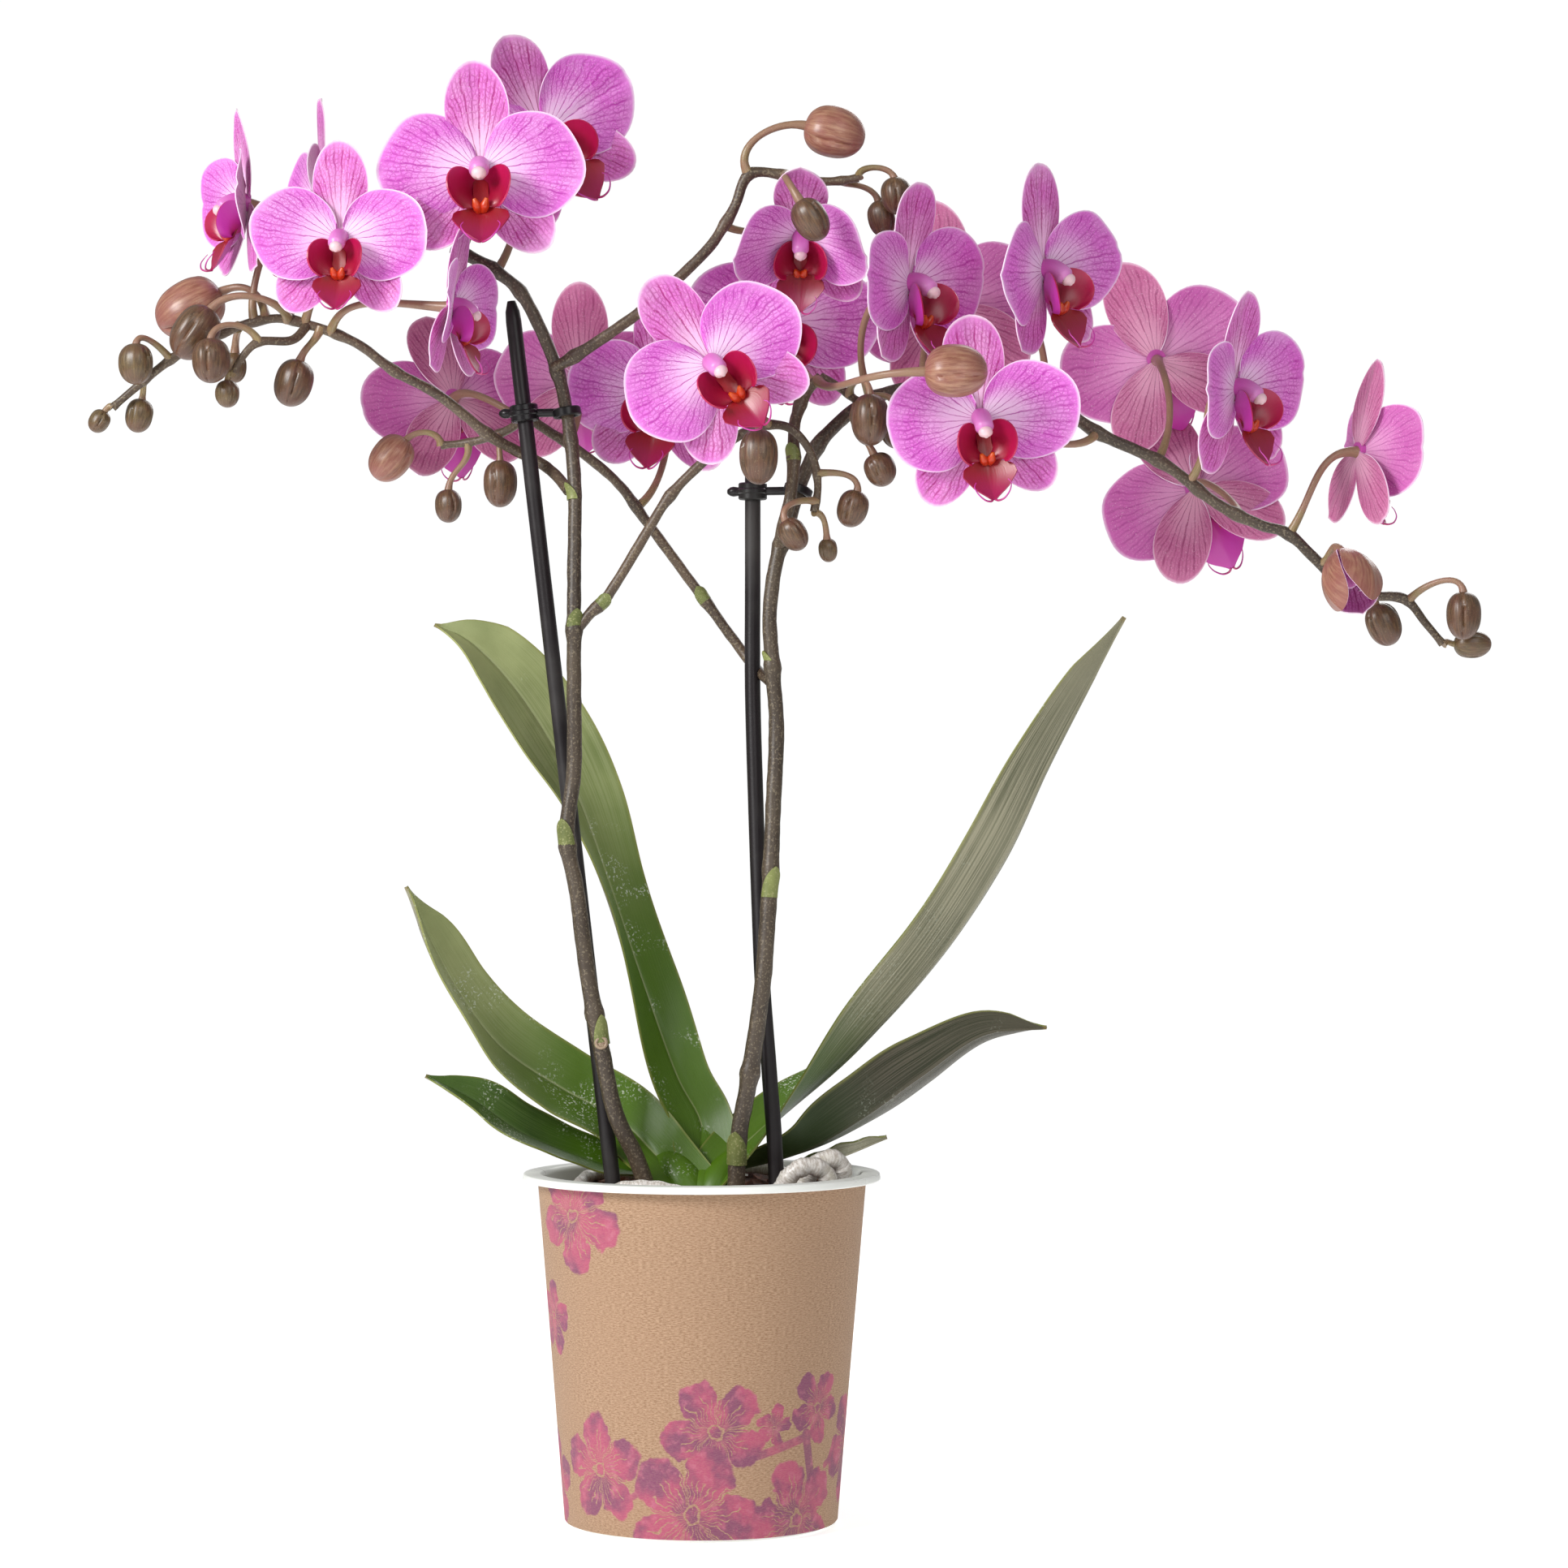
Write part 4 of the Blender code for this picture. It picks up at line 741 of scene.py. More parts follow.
def grow(name, source, tree, values, node=None, sharp=None):
    """Runs a Geometry Nodes tree on a source object once and keeps the result as a plain mesh piece."""
    holder = bpy.data.objects.new(name + "_source", source)
    bpy.context.scene.collection.objects.link(holder)
    modifier = holder.modifiers.new("grow", "NODES")
    modifier.node_group = tree
    for item in tree.interface.items_tree:
        if item.item_type == "SOCKET" and item.in_out == "INPUT" and item.name in values:
            modifier[item.identifier] = values[item.name]
    graph = bpy.context.evaluated_depsgraph_get()
    mesh = bpy.data.meshes.new_from_object(holder.evaluated_get(graph), depsgraph=graph)
    bpy.data.objects.remove(holder, do_unlink=True)
    mesh.name = name
    if sharp:
        mesh.shade_smooth()
        mesh.set_sharp_from_angle(angle=math.radians(sharp))
    made = bpy.data.objects.new(name, mesh)
    bpy.context.scene.collection.objects.link(made)
    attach(made, "root")
    if node:
        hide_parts(node)
    return made


def chip_tree():
    tree, given, wanted = node_tree("bark_chips", [
        ("Spacing", "NodeSocketFloat", 0.004), ("Size", "NodeSocketFloat", 0.007), ("Roughness", "NodeSocketFloat", 0.002),
        ("Seed", "NodeSocketInt", 1), ("Finish", "NodeSocketMaterial", None)])
    spread = add(tree, "GeometryNodeDistributePointsOnFaces", {"Mesh": given.outputs["Geometry"], "Density Max": 120000.0,
                 "Distance Min": given.outputs["Spacing"], "Seed": given.outputs["Seed"]}, distribute_method="POISSON")
    block = add(tree, "GeometryNodeMeshCube", {"Size": (1.0, 0.62, 0.3), "Vertices X": 4, "Vertices Y": 3, "Vertices Z": 2})
    turn = add(tree, "FunctionNodeRandomValue", {0: (-0.45, -0.45, 0.0), 1: (0.45, 0.45, math.tau)}, data_type="FLOAT_VECTOR")
    size = add(tree, "FunctionNodeRandomValue", {2: 0.55, 3: 1.25, 8: 7}, data_type="FLOAT")
    scale = calc(tree, "MULTIPLY", size.outputs[1], given.outputs["Size"])
    placed = add(tree, "GeometryNodeInstanceOnPoints", {"Points": spread.outputs["Points"], "Instance": block.outputs["Mesh"],
                 "Rotation": turn.outputs[0], "Scale": scale})
    real = add(tree, "GeometryNodeRealizeInstances", {"Geometry": placed.outputs["Instances"]})
    jitter = add(tree, "ShaderNodeTexNoise", {"Scale": 190.0, "Detail": 2.0})
    centred = add(tree, "ShaderNodeVectorMath", {0: jitter.outputs["Color"], 1: (-0.5, -0.5, -0.5)}, operation="ADD")
    push = add(tree, "ShaderNodeVectorMath", {0: centred.outputs[0]}, operation="SCALE")
    tree.links.new(given.outputs["Roughness"], push.inputs["Scale"])
    moved = add(tree, "GeometryNodeSetPosition", {"Geometry": real.outputs["Geometry"], "Offset": push.outputs[0]})
    done = add(tree, "GeometryNodeSetMaterial", {"Geometry": moved.outputs["Geometry"], "Material": given.outputs["Finish"]})
    tree.links.new(done.outputs["Geometry"], wanted.inputs["Geometry"])
    return tree


CHIP_TREE = chip_tree()


def bark_top():
    """The flat disc that the chips lie on, kept clear of the pot's wall."""
    mesh = bpy.data.meshes.new("bark_top")
    work = bmesh.new()
    bmesh.ops.create_circle(work, cap_ends=True, segments=48, radius=41.0 * MM)
    for vertex in work.verts:
        vertex.co.z = 96.6 * MM
    work.to_mesh(mesh)
    work.free()
    return mesh


chips = grow("bark_chips", bark_top(), CHIP_TREE, {"Spacing": 0.0037, "Size": 0.0085, "Roughness": 0.0045, "Seed": 4,
                                                   "Finish": BARK}, sharp=25)
print("bark chips:", len(chips.data.polygons), "faces")

# %% [markdown]
# ## Stems
# Each spike and branch is a long tapering rod with a slight kink and a swollen ring wherever a flower or a
# bract leaves it. The rods follow curves, so a Geometry Nodes tree sweeps a round section along each curve,
# with the curve's own radius as the section's size, and adds a faint unevenness to the skin. The swellings are
# worked out beforehand and kept in the curve's point radii.

# %% Stem paths and the sweeping tree
SPIKE_LEFT = [(-15, -8, 96), (-19, -9, 108), (-25, -11, 121), (-29, -13, 140), (-33, -14, 162), (-36, -14, 185),
              (-39, -13, 202), (-37, -12, 221), (-37, -12, 244), (-37, -12, 263), (-37, -10, 282), (-37, -7, 304),
              (-39, -3, 323), (-42, -3, 337), (-47, -4, 350), (-53, -5, 361), (-60, -6, 367), (-67, -6, 371),
              (-73, -6, 374)]
LEFT_ARM = [(-39, -3, 303), (-43, 4, 308), (-48, 8, 312), (-56, 7, 316), (-63, 3, 320), (-77, -2, 331),
            (-90, -5, 338), (-101, -7, 346), (-114, -8, 351), (-124, -8, 353), (-134, -8, 351), (-146, -8, 346)]
LEFT_TIP = [(-146, -8, 346), (-155, -8, 341), (-165, -8, 333), (-172, -8, 327)]
LEFT_SIDE = [(-115, -8, 351), (-119, -15, 346), (-128, -20, 345), (-133, -21, 340), (-135, -21, 336)]
TOP_BRANCH = [(-43, -4, 339), (-37, -8, 342), (-29, -9, 347), (-15, -10, 357), (1, -10, 372), (6, -9, 379),
              (10, -9, 386), (14, -9, 395), (23, -9, 395), (31, -9, 393)]
TOP_TIP = [(31, -9, 393), (39, -9, 393), (46, -9, 394)]
CROSS_TO_RIGHT = [(-37, -12, 261), (-32, -12, 267), (-27, -12, 272), (-16, -12, 290), (-9, -12, 301), (1, -13, 311),
                  (12, -14, 319)]
SPIKE_RIGHT = [(10, -10, 96), (11, -11, 114), (14, -13, 131), (18, -15, 159), (20, -14, 187), (21, -12, 209),
               (22, -10, 233), (21, -10, 249), (20, -10, 266), (22, -9, 282), (26, -5, 295), (29, -3, 305),
               (34, -2, 316), (39, 0, 322), (46, 2, 328), (54, 3, 332), (64, 3, 334), (80, 3, 334), (95, 1, 333),
               (104, -1, 329), (116, -4, 320), (135, -5, 311), (151, -6, 299), (163, -6, 293), (172, -6, 290),
               (184, -6, 279), (197, -6, 272)]
RIGHT_TIP = [(197, -6, 272), (206, -6, 271), (212, -6, 264), (217, -6, 258)]
CROSS_TO_LEFT = [(20, -9, 247), (16, 3, 251), (12, 8, 256), (1, 9, 271), (-16, 9, 294), (-25, 9, 306),
                 (-37, 9, 316), (-45, 9, 321), (-52, 10, 326)]
UPRIGHT = [(23, -9, 287), (24, -14, 292), (26, -14, 300), (27, -14, 309), (27, -12, 318), (28, -9, 325),
           (31, -7, 332), (35, -7, 336)]
UPRIGHT_TIP = [(35, -7, 336), (40, -9, 333), (46, -14, 328)]
CENTRE_SPRAY = [(12, -14, 319), (18, -19, 321), (26, -20, 320), (32, -19, 313), (34, -18, 304), (33, -18, 296)]
LOW_LEFT = [(-52, 10, 326), (-58, 14, 322), (-68, 18, 319), (-78, 20, 318)]

# each stem: its points, thick and thin radius mm, finish, and the joints along it (places that swell)
STEMS = {
    "spike_left": (SPIKE_LEFT, 2.55, 1.75, STEM, [(-31, -13, 150), (-38, -13, 199), (-37, -12, 262), (-39, -5, 318),
                                                  (-42, -3, 338), (-53, -5, 361), (-61, -6, 368), (-70, -6, 373)]),
    "left_arm": (LEFT_ARM, 1.7, 1.25, BRANCH, [(-63, 3, 320), (-90, -5, 338), (-106, -7, 349), (-119, -8, 352),
                                               (-130, -8, 352), (-140, -8, 348)]),
    "top_branch": (TOP_BRANCH, 1.75, 1.4, BRANCH, [(-37, -8, 342), (7, -9, 381), (14, -9, 395), (24, -9, 394)]),
    "cross_branch_right": (CROSS_TO_RIGHT, 1.6, 1.4, BRANCH, [(-30, -12, 269), (-9, -12, 301)]),
    "spike_right": (SPIKE_RIGHT, 2.6, 1.5, STEM, [(14, -13, 133), (21, -12, 192), (20, -10, 251), (23, -8, 287),
                                                  (34, -2, 316), (50, 3, 330), (66, 3, 334), (99, 0, 331),
                                                  (116, -4, 320), (134, -5, 312), (145, -6, 303), (157, -6, 296),
                                                  (172, -6, 290), (184, -6, 279)]),
    "cross_branch_left": (CROSS_TO_LEFT, 1.6, 1.4, BRANCH, [(1, 9, 271), (-20, 9, 299), (-40, 9, 318)]),
    "upright_branch": (UPRIGHT, 1.9, 1.6, BRANCH, [(27, -13, 312), (29, -8, 328)]),
}


def sweep_tree():
    tree, given, wanted = node_tree("swept_stem", [
        ("Sides", "NodeSocketInt", 18), ("Lump Size", "NodeSocketFloat", 260.0), ("Lump Height", "NodeSocketFloat", 0.0003),
        ("Finish", "NodeSocketMaterial", None)])
    section = add(tree, "GeometryNodeCurvePrimitiveCircle", {"Resolution": given.outputs["Sides"], "Radius": 1.0})
    radius = tree.nodes.new("GeometryNodeInputRadius")
    swept = add(tree, "GeometryNodeCurveToMesh", {"Curve": given.outputs["Geometry"], "Profile Curve": section.outputs["Curve"],
                "Scale": radius.outputs[0], "Fill Caps": True})
    lumps = add(tree, "ShaderNodeTexNoise", {"Scale": given.outputs["Lump Size"], "Detail": 2.0})
    centred = add(tree, "ShaderNodeVectorMath", {0: lumps.outputs["Color"], 1: (-0.5, -0.5, -0.5)}, operation="ADD")
    push = add(tree, "ShaderNodeVectorMath", {0: centred.outputs[0]}, operation="SCALE")
    tree.links.new(given.outputs["Lump Height"], push.inputs["Scale"])
    moved = add(tree, "GeometryNodeSetPosition", {"Geometry": swept.outputs["Mesh"], "Offset": push.outputs[0]})
    real = add(tree, "GeometryNodeRealizeInstances", {"Geometry": moved.outputs["Geometry"]})
    done = add(tree, "GeometryNodeSetMaterial", {"Geometry": real.outputs["Geometry"], "Material": given.outputs["Finish"]})
    tree.links.new(done.outputs["Geometry"], wanted.inputs["Geometry"])
    return tree


SWEEP_TREE = sweep_tree()


def rod_curve(name, path, radii):
    """A curve through a path, in mm, that carries a radius for each of its points."""
    data = bpy.data.curves.new(name, "CURVE")
    data.dimensions = "3D"
    spline = data.splines.new("POLY")
    spline.points.add(len(path) - 1)
    spline.points.foreach_set("co", np.column_stack([path * MM, np.ones(len(path))]).ravel())
    spline.points.foreach_set("radius", np.broadcast_to(radii, len(path)) * MM)
    return data


def swollen_radii(path, thick, thin, joints, swelling=0.28, reach=2.2):
    """Radii that taper from thick to thin and swell at each joint."""
    radii = np.linspace(thick, thin, len(path))
    for joint in joints:
        gap = np.linalg.norm(path - np.array(joint), axis=1)
        radii = radii * (1 + swelling * np.exp(-(gap / reach) ** 2))
    return radii


stem_paths = {}
for name, (points, thick, thin, material, joints) in STEMS.items():
    path = smooth_path(points, 1.6)
    stem_paths[name] = path
    stem = grow(name + "_stem", rod_curve(name, path, swollen_radii(path, thick, thin, joints)), SWEEP_TREE,
                {"Sides": 18, "Lump Height": 0.0005, "Finish": material}, name, sharp=60)
print("stems:", {name: len(path) for name, path in stem_paths.items()})

# %% [markdown]
# ## Stakes and clips
# The spikes are tied to two thin dark stakes. They are straight moulded rods with a rounded top, so the same
# sweep makes them. The clips are small: a collar on the stake, a bridge, a loop round the spike and a finger tab.

# %% Stakes and clips
STAKE_LEFT = [(-16, -3, 14), (-26, -3, 100), (-41, -1, 230), (-56, 1, 359)]
STAKE_RIGHT = [(25, -5, 14), (22, -5, 100), (20, -5, 131), (18, -6, 157), (17, -5, 180), (16, -3, 209), (15, -1, 245),
               (15, 0, 280), (15, 0, 329)]
stake_paths = {}
for name, points in (("stake_left", STAKE_LEFT), ("stake_right", STAKE_RIGHT)):
    path = smooth_path(points, 3.0)
    stake_paths[name] = path
    radii = np.full(len(path), 2.3)
    radii[-2:] = (2.1, 1.2)
    grow(name + "_rod", rod_curve(name, path, radii), SWEEP_TREE,
         {"Sides": 24, "Lump Height": 0.00008, "Finish": BLACK_PLASTIC}, name, sharp=50)


def at_height(path, height):
    """The point of a rising path at a height, and the path's heading there."""
    index = int(np.argmax(path[:, 2] > height))
    low, high = path[index - 1], path[index]
    share = (height - low[2]) / (high[2] - low[2])
    return low + (high - low) * share, (high - low) / np.linalg.norm(high - low)


def ring_solid(middle, axis, outer, inner, height, sides=40):
    """A short collar with rounded edges."""
    axis = axis / np.linalg.norm(axis)
    side = unit(np.cross(axis, (0.0, 1.0, 0.1)))
    lift = np.cross(axis, side)
    half, soft = height / 2, min(0.35, (outer - inner) * 0.35)
    profile = [(inner, -half + soft), (inner + soft, -half), (outer - soft, -half), (outer, -half + soft),
               (outer, half - soft), (outer - soft, half), (inner + soft, half), (inner, half - soft)]
    angles = np.arange(sides) / sides * math.tau
    ring = np.cos(angles)[:, None] * side + np.sin(angles)[:, None] * lift
    points = np.concatenate([middle + ring * r + axis * z for r, z in profile])
    faces = []
    for i in range(len(profile)):
        for j in range(sides):
            k, m = (j + 1) % sides, (i + 1) % len(profile)
            faces.append([i * sides + j, i * sides + k, m * sides + k, m * sides + j])
    return points, faces, np.zeros((len(points), 2))


def make_clip(name, stake, stem, stem_radius, height):
    collar_at, collar_axis = at_height(stake_paths[stake], height)
    loop_at, loop_axis = at_height(stem_paths[stem], height)
    across = unit(loop_at - collar_at)
    collar_outer, loop_outer = 2.3 + 0.3 + 1.6, stem_radius + 2.1
    body = Body(name + "_piece", [CLIP_PLASTIC])
    body.add(*ring_solid(collar_at, collar_axis, collar_outer, 2.6, 5.0), 0)
    body.add(*ring_solid(collar_at, collar_axis, collar_outer + 0.35, collar_outer - 0.6, 1.6), 0)
    body.add(*ring_solid(loop_at, loop_axis, loop_outer, stem_radius + 0.9, 2.6), 0)
    start, end = collar_at + across * (collar_outer - 0.9), loop_at - across * (loop_outer - 0.7)
    body.add(*tube(np.linspace(start, end, 4), 1.25, 16), 0)
    tab = np.linspace(collar_at - across * (collar_outer - 0.9), collar_at - across * (collar_outer + 3.4), 6)
    body.add(*tube(tab, [1.2, 1.25, 1.4, 1.5, 1.3, 0.7], 16), 0)
    return body.piece(name, sharp=35)


make_clip("clip_left", "stake_left", "spike_left", 2.1, 326)
make_clip("clip_right", "stake_right", "spike_right", 2.2, 303)
print("stakes:", {name: round(float(path[-1][2])) for name, path in stake_paths.items()}, "mm tall; clips: 2")

# %% [markdown]
# ## Leaves, crown and aerial roots
# A moth orchid's leaf is a thick strap folded along its midrib. Its shape follows a rule: at each station
# along the midrib it has a width and a way that its upper face looks, and the two halves rise from the rib.
# Rows of points are worked out from the stations, given a thickness that thins towards the margin, and mapped
# across and along so that the finish's fine lines run lengthwise.

# %% Leaves
LEAVES = {
    "leaf_left_tall": [((3, 6, 99), 15, (0.1, -1, 0.3)), ((1, 9, 108), 21, (0.1, -1, 0.3)), ((-1, 13, 118), 20, (0.1, -1, 0.3)), ((-8, 15, 131), 20, (0.3, -0.9, 0.2)),
                       ((-18, 17, 158), 24, (0.75, -0.6, 0.2)), ((-28, 20, 187), 27, (0.85, -0.5, 0.2)),
                       ((-37, 21, 212), 29, (0.75, -0.65, 0.2)), ((-47, 19, 232), 29, (0.5, -0.85, 0.25)),
                       ((-58, 15, 248), 26, (0.4, -0.85, 0.35)), ((-69, 10, 259), 18, (0.35, -0.8, 0.5)),
                       ((-79, 7, 264), 2, (0.3, -0.8, 0.6))],
    "leaf_left_curled": [((0, 0, 97), 15, (-0.1, -0.8, 0.6)), ((-12, 4, 106), 22, (-0.1, -0.7, 0.7)), ((-24, 11, 117), 24, (-0.1, -0.75, 0.65)),
                         ((-42, 10, 127), 26, (0, -0.8, 0.6)), ((-59, 5, 139), 26, (0.35, -0.7, 0.6)),
                         ((-71, -1, 155), 24, (0.75, -0.5, 0.4)), ((-80, -5, 172), 19, (0.9, -0.4, 0.15)),
                         ((-86, -8, 187), 2, (0.95, -0.3, 0.1))],
    "leaf_left_low": [((-16, 7, 101), 9, (-0.2, -0.3, 0.9)), ((-34, 6, 106), 17, (-0.2, -0.6, 0.8)),
                      ((-52, -2, 114), 20, (-0.2, -0.6, 0.8)), ((-66, -8, 124), 16, (-0.2, -0.6, 0.8)),
                      ((-80, -13, 132), 2, (-0.2, -0.6, 0.8))],
    "leaf_right_long": [((0, 1, 98), 14, (-0.2, -0.75, 0.6)), ((9, 5, 107), 20, (-0.3, -0.6, 0.7)), ((24, 12, 120), 25, (-0.5, -0.2, 0.8)),
                        ((46, 17, 139), 30, (-0.6, 0.35, 0.7)), ((70, 21, 166), 32, (-0.7, 0.45, 0.5)),
                        ((89, 23, 195), 31, (-0.8, 0.5, 0.35)), ((102, 24, 222), 27, (-0.85, 0.5, 0.3)),
                        ((114, 25, 245), 19, (-0.8, 0.5, 0.4)), ((126, 26, 267), 2, (-0.75, 0.5, 0.5))],
    "leaf_right_low": [((10, 2, 104), 10, (-0.2, 0.3, 0.9)), ((30, 13, 109), 22, (-0.3, 0.5, 0.8)),
                       ((48, 15, 119), 28, (-0.35, 0.65, 0.7)), ((65, 16, 131), 25, (-0.3, 0.7, 0.7)),
                       ((83, 14, 143), 15, (-0.1, 0.7, 0.7)), ((102, 11, 145), 2, (0.2, 0.7, 0.8))],
    "leaf_right_small": [((27, 29, 101), 9, (-0.2, 0.2, 0.9)), ((42, 31, 106), 11, (-0.3, 0.2, 0.9)),
                         ((55, 33, 111), 2, (-0.3, 0.2, 0.9))],
}
LEAF_FOLD = math.radians(24)
# the taller leaves' faces take the pale sage finish, a painted sheen that stands in for reflected light
LEAF_SKINS = {"leaf_left_tall": (LEAF_PAINTED_SHEEN, LEAF_UNDER), "leaf_left_curled": (LEAF_PAINTED_SHEEN, LEAF_UNDER),
              "leaf_left_low": (LEAF_UPPER, LEAF_UNDER), "leaf_right_long": (LEAF_PAINTED_SHEEN, LEAF_UNDER),
              "leaf_right_low": (LEAF_UPPER, LEAF_PLUM), "leaf_right_small": (LEAF_PAINTED_SHEEN, LEAF_UNDER)}


def leaf_rows(stations, seed, across=21):
    """The leaf's grid of points and its map, from its stations."""
    rows = smooth_path([(*point, width, *face) for point, width, face in stations], 1.7)
    path, widths, faces = rows[:, :3], np.maximum(rows[:, 3], 0.5), rows[:, 4:]
    shares = np.linspace(0, 1, len(rows))
    widths = widths * np.where(shares > 0.9, np.sqrt(np.clip((1.003 - shares) / 0.1, 0, 1)) * 0.75 + 0.25, 1.0)
    headings = unit(np.gradient(path, axis=0))
    faces = unit(faces - headings * (faces * headings).sum(1, keepdims=True))
    sides = np.cross(headings, faces)
    t = np.linspace(-1, 1, across)[None]
    half = widths[:, None] / 2
    wave = 0.35 * np.sin(shares[:, None] * 21 + seed + 1.3 * np.sign(t)) * np.abs(t) ** 3
    rise = half * np.abs(t) ** 1.4 * math.sin(LEAF_FOLD) - 0.5 * np.exp(-(t / 0.06) ** 2) + wave
    out = half * t * math.cos(LEAF_FOLD)
    grid = path[:, None] + sides[:, None] * out[..., None] + faces[:, None] * rise[..., None]
    chart = np.stack(np.broadcast_arrays((t + 1) / 2, shares[:, None]), -1)
    thickness = 0.5 + 1.0 * (1 - np.abs(t) ** 2.2) * np.clip(half / 8, 0.3, 1)
    return grid, thickness, chart, faces[:, None]


for seed, (name, stations) in enumerate(LEAVES.items()):
    grid, thickness, chart, facing = leaf_rows(stations, seed * 1.7)
    body = Body(name + "_blade", list(LEAF_SKINS[name]))
    body.add(*sheet(grid, thickness, chart, facing, 0, 1))
    leaf = body.piece(name)
print("leaves:", len(LEAVES), "with", len(leaf.data.polygons), "faces in the smallest")

# %% Crown and aerial roots
CROWN_SHEATHS = [((0, 3, 86), (0, 3.5, 94), (1, 4, 100), (2, 5, 105)), ((-1, 3, 88), (-4, 3, 97), (-9, 5, 104), (-14, 7, 107)),
                 ((1, 2, 88), (4, 2, 97), (8, 4, 104), (13, 6, 110)), ((0, 6, 90), (1, 9, 99), (2, 13, 108), (0, 15, 117))]
CROWN_WIDTHS = [(6.6, 7.4, 6.0, 1.2), (5.6, 6.6, 5.2, 1.6), (5.2, 6.2, 4.8, 1.6), (5.6, 6.8, 6.0, 2.0)]
body = Body("crown_sheaths", [LEAF_FOOT])
for points, widths in zip(CROWN_SHEATHS, CROWN_WIDTHS):
    rows = smooth_path([(*p, w) for p, w in zip(points, widths)], 1.2)
    points, faces, places = tube(rows[:, :3], rows[:, 3], 28)
    body.add(points, faces, places * (1.0, 0.12), 0)
body.piece("crown")

ROOTS = {
    "aerial_root_left": [(22, -15, 97), (25, -16, 102), (28, -17, 105), (32, -16, 106), (36, -14, 104), (38, -12, 98)],
    "aerial_root_right": [(29, -7, 97), (31, -6, 102), (34, -7, 106), (38, -6, 107.5), (41, -4, 105), (42, -2, 98)],
}
for seed, (name, points) in enumerate(ROOTS.items()):
    path = smooth_path(points, 0.7)
    run = np.arange(len(path))
    radii = 2.7 + 0.18 * np.sin(run * 0.9 + seed) + 0.12 * np.sin(run * 2.3)
    body = Body(name + "_loop", [ROOT])
    body.add(*tube(path, radii, 20), 0)
    body.piece(name)

SURFACE_ROOTS = [[(-30, -20, 95), (-24, -25, 100), (-14, -28, 101), (-5, -27, 99), (2, -25, 95)],
                 [(-6, 22, 95), (4, 27, 101), (16, 28, 102), (25, 24, 100), (30, 18, 95)],
                 [(-38, 4, 95), (-35, 12, 100), (-28, 20, 101), (-18, 26, 99), (-12, 28, 95)]]
body = Body("surface_roots", [ROOT])
for points in SURFACE_ROOTS:
    path = smooth_path(points, 0.9)
    body.add(*tube(path, 1.9 + 0.15 * np.sin(np.arange(len(path)) * 1.1), 16), 0)
body.piece()

# %% [markdown]
# ## Bracts
# At each joint of a spike there is a small green bract, a scale that hugs the stem and ends in a point. Each is
# a short sheet bent round the stem, so it is made as rows of points at the stem's radius.

# %% Bracts
# each bract: its stem, height mm, degrees round the stem (0 is the front), length, and how much of the stem it hugs
BRACT_PLACES = [("spike_left", 141, 35, 9, 70), ("spike_left", 199, -30, 8, 85), ("spike_left", 262, 20, 6, 80),
                ("spike_left", 300, -60, 5, 80), ("spike_right", 106, -20, 10, 100), ("spike_right", 184, 30, 9, 95),
                ("spike_right", 249, -60, 7, 90), ("spike_right", 284, 40, 6, 80), ("cross_branch_right", 269, 10, 5, 90),
                ("cross_branch_left", 271, 10, 5, 90), ("upright_branch", 311, -20, 5, 90)]


def bract_solid(path, height, turn, length, hug, radius):
    heading = at_height(path, height)[1]
    side = unit(np.cross(heading, (0.0, 1.0, 0.0)))
    front = np.cross(heading, side)
    front = front if front[1] < 0 else -front
    side = np.cross(heading, front)
    rows = []
    for share in np.linspace(0, 1, 14):
        centre = at_height(path, height + share * length * heading[2])[0]
        spread = math.radians(hug) * (1 - share ** 1.6) ** 0.8 + 0.03
        out = radius + 0.25 + 0.9 * share ** 2
        angles = math.radians(turn) + np.linspace(-spread, spread, 13)
        rows.append(centre + (np.cos(angles)[:, None] * front + np.sin(angles)[:, None] * side) * out)
    grid = np.array(rows)
    chart = np.stack(np.meshgrid(np.linspace(0, 1, 13), np.linspace(0, 1, 14)), -1)
    outwards = grid - np.array([at_height(path, height)[0]])
    return sheet(grid, 0.4, chart, outwards, 0, 0)


body = Body("bracts", [BRACT])
for stem, height, turn, length, hug in BRACT_PLACES:
    points, thick, thin, material, joints = STEMS[stem]
    share = (height - points[0][2]) / (points[-1][2] - points[0][2])
    body.add(*bract_solid(stem_paths[stem], height, turn, length, hug, thick + (thin - thick) * min(share, 1)))
bracts = body.piece()

# the dry round scar where an old side shoot was cut from the left spike
SCAR = streaked_finish("dry_scar", "7a5a40", "cdbb9f", "5c4030")
scar_at, scar_axis = at_height(stem_paths["spike_left"], 141.5)
outwards = unit(np.array([0.15, -1.0, 0.1]))
body = Body("cut_scar", [SCAR])
body.add(*ring_solid(scar_at + outwards * 2.6, outwards, 2.0, 1.0, 1.0, 28), 0)
body.add(*tube(np.array([scar_at + outwards * d for d in (1.4, 2.0, 2.7, 2.9)]), [1.3, 1.3, 1.1, 0.5], 20), 0)
body.piece()
print("bracts:", len(BRACT_PLACES), "on", len(set(row[0] for row in BRACT_PLACES)), "stems")

# %% [markdown]
# ## Flowers
# A moth orchid's flower has three sepals behind two broad petals, a three-lobed lip and a short column. Every
# tepal is a fan of points that opens from a narrow claw: its reach depends on the angle, so one rule gives both
# round petals and narrower sepals. The fan is then bent along its length, cupped across and ruffled at its edge.

